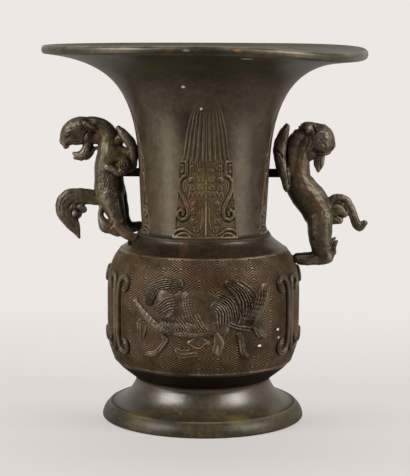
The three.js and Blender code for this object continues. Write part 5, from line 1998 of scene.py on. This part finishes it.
class Studio:
    """A pale table and backdrop, five soft lights and the photograph's camera."""

    camera_place = (0.8, -1035.0, 258.0)
    camera_pitch = 7.85
    camera_roll = 0.35
    lens = 123.0
    aim_z = 130.0
    floor_radius = 850.0
    floor_colour: Colour = (0.45, 0.428, 0.411)
    floor_glow: Colour = (0.775, 0.735, 0.706)
    glow_share = 0.85
    near_shade = 1.0
    backdrop: Colour = (0.847, 0.807, 0.776)

    def camera(self) -> None:
        """Sets the camera where the photograph was taken from."""
        deselect_all()
        bpy.ops.object.camera_add(location=tuple(MM * c for c in self.camera_place))
        camera = bpy.context.object
        pitch = Matrix.Rotation(math.radians(90.0 - self.camera_pitch), 3, "X")
        roll = Matrix.Rotation(math.radians(self.camera_roll), 3, "Z")
        camera.rotation_euler = (pitch @ roll).to_euler()
        camera.data.lens = self.lens
        bpy.context.scene.camera = camera

    def table(self) -> None:
        """Adds the pale table, which fades into the backdrop."""
        deselect_all()
        bpy.ops.mesh.primitive_circle_add(vertices=96, radius=self.floor_radius * MM, fill_type="NGON")
        table = bpy.context.object
        table.name = "table"
        material = bpy.data.materials.new("pale_table")
        board = fresh_board(material)
        place = board.place()
        away = board.add("VectorMath", {0: place}, operation="LENGTH").outputs["Value"]
        depth = board.add("SeparateXYZ", {0: place}).outputs["Y"]
        seen = board.add("LightPath").outputs["Is Camera Ray"]
        hidden = board.math("SUBTRACT", 1.0, seen)
        edge = board.ramp(away, 0.6, 0.84)
        back = board.product(board.ramp(depth, 0.0, 0.46), seen)
        front = board.ramp(depth, 0.05, -0.12)
        near = board.product(board.ramp(away, 0.12, 0.36), hidden, front)
        fade = board.math("MAXIMUM", board.math("MAXIMUM", edge, back), near)
        paper = board.add("BsdfDiffuse", {"Color": self.floor_colour})
        clear = board.add("BsdfTransparent")
        glow = board.add("Emission", {"Color": self.floor_glow})
        close = board.product(board.ramp(away, 0.26, 0.06), front)
        share = board.product(seen, board.scaled(close, -self.near_shade, 1.0), self.glow_share)
        even = board.add("MixShader", {0: share, 1: paper.outputs[0], 2: glow.outputs[0]})
        both = board.add("MixShader", {0: fade, 1: even.outputs[0], 2: clear.outputs[0]})
        board.add("OutputMaterial", {"Surface": both.outputs[0]})
        table.data.materials.append(material)

    def surroundings(self) -> None:
        """Lights the room: pale behind and below, dark on the camera's side, and an even pale backdrop."""
        world = bpy.data.worlds.new("studio")
        bpy.context.scene.world = world
        board = fresh_board(world)
        way = board.add("TexCoord").outputs["Generated"]
        parts = board.add("SeparateXYZ", {0: way}).outputs
        behind = board.ramp(parts["Y"], -0.25, 0.75)
        room = board.mix(behind, (0.03, 0.03, 0.031), (0.6, 0.58, 0.56))
        over = board.ramp(parts["Z"], 0.35, 0.95)
        ceiling = board.mix(over, room, (0.07, 0.07, 0.07))
        under = board.ramp(parts["Z"], -0.1, -0.35)
        ground = board.mix(behind, (0.05, 0.05, 0.05), (0.55, 0.53, 0.51))
        glow = board.mix(under, ceiling, ground)
        seen = board.add("LightPath").outputs["Is Camera Ray"]
        colour = board.mix(seen, glow, self.backdrop)
        sky = board.add("Background", {"Color": colour, "Strength": 1.0})
        board.add("OutputWorld", {"Surface": sky.outputs[0]})

    def soft_light(self, light: SoftLight) -> None:
        """Adds a soft light that faces the vase."""
        angle = math.radians(light.bearing)
        out = (math.sin(angle) * light.distance, -math.cos(angle) * light.distance, light.height)
        spot = Vector(out) * MM
        deselect_all()
        bpy.ops.object.light_add(type="AREA", location=spot)
        lamp = bpy.context.object
        lamp.name = light.name
        lamp.data.shape = "RECTANGLE"
        lamp.data.size, lamp.data.size_y = light.size[0] * MM, light.size[1] * MM
        lamp.data.energy = light.power
        aim = Vector((0.0, 0.0, self.aim_z * MM)) - spot
        lamp.rotation_euler = aim.to_track_quat("-Z", "Y").to_euler()

    def build(self) -> None:
        """Builds the whole studio."""
        self.camera()
        self.table()
        self.surroundings()
        for light in LIGHTS:
            self.soft_light(light)
        bpy.context.scene.view_settings.view_transform = "Standard"


# Assembly


@dataclass
class Vase:
    """The whole vase, dressed piece by piece."""

    finishes: Finishes = field(default_factory=Finishes)
    outlines: VaseOutline = field(default_factory=VaseOutline)
    leaf_turn: float = 1.8
    scroll_bearings: dict[str, float] = field(
        default_factory=lambda: {
            "front_left_scroll": -150.0,
            "front_right_scroll": -30.0,
            "back_left_scroll": 166.0,
            "back_right_scroll": 14.0,
        }
    )

    def keep(self, piece: bpy.types.Object, patina: Patina, *nodes: str) -> None:
        """Dresses a new piece, rides it on the vase and lets it stand for CAD nodes."""
        self.finishes.dress(piece, patina)
        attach(piece, BODY)
        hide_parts(*nodes)
        log.info("%s: %d vertices, for %s", piece.name, len(piece.data.vertices), ", ".join(nodes))

    def build(self) -> None:
        """Builds every piece in order, from the foot up."""
        self.keep(Foot().build(), FOOT_PATINA, "foot")
        self.keep(Body(self.outlines).build(), BODY_PATINA, "body")
        self.keep(Neck(self.outlines).build(), NECK_PATINA, "neck")
        for name, bearing in {"front_beast": FRONT, "back_beast": FRONT + 180.0}.items():
            self.keep(Beast(self.outlines).build(name, bearing), BEAST_PATINA, "body")
        for k, name in enumerate(("front_leaf", "right_leaf", "back_leaf", "left_leaf")):
            bearing = FRONT + self.leaf_turn + 90.0 * k
            self.keep(LeafPanel(self.outlines).build(name, bearing), PANEL_PATINA, "neck")
        for name, bearing in self.scroll_bearings.items():
            piece = Scroll(self.outlines).build(f"{name}_moulding", bearing)
            self.keep(piece, SCROLL_PATINA, name)
        vessel = self.outlines.envelope()
        lions = (
            Lion("left_lion_handle", "left_lion", -1, LEFT_LIMBS, LEFT_CARVING, LEFT_OLIVE, LEFT_RUST),
            Lion("right_lion_handle", "right_lion", 1, RIGHT_LIMBS, RIGHT_CARVING, RIGHT_OLIVE, RIGHT_RUST),
        )
        for lion in lions:
            self.keep(lion.build(vessel), LION_PATINA, lion.node)
        replaced = {"foot", "body", "neck", "left_lion", "right_lion", *self.scroll_bearings}
        for name, node in frame["nodes"].items():
            if name not in replaced:
                self.finishes.dress(node, FIXING_PATINA)


def main() -> None:
    """Builds the studio and the vase."""
    logging.basicConfig(level=logging.INFO)
    Studio().build()
    Vase().build()


if __name__ == "__main__":
    main()
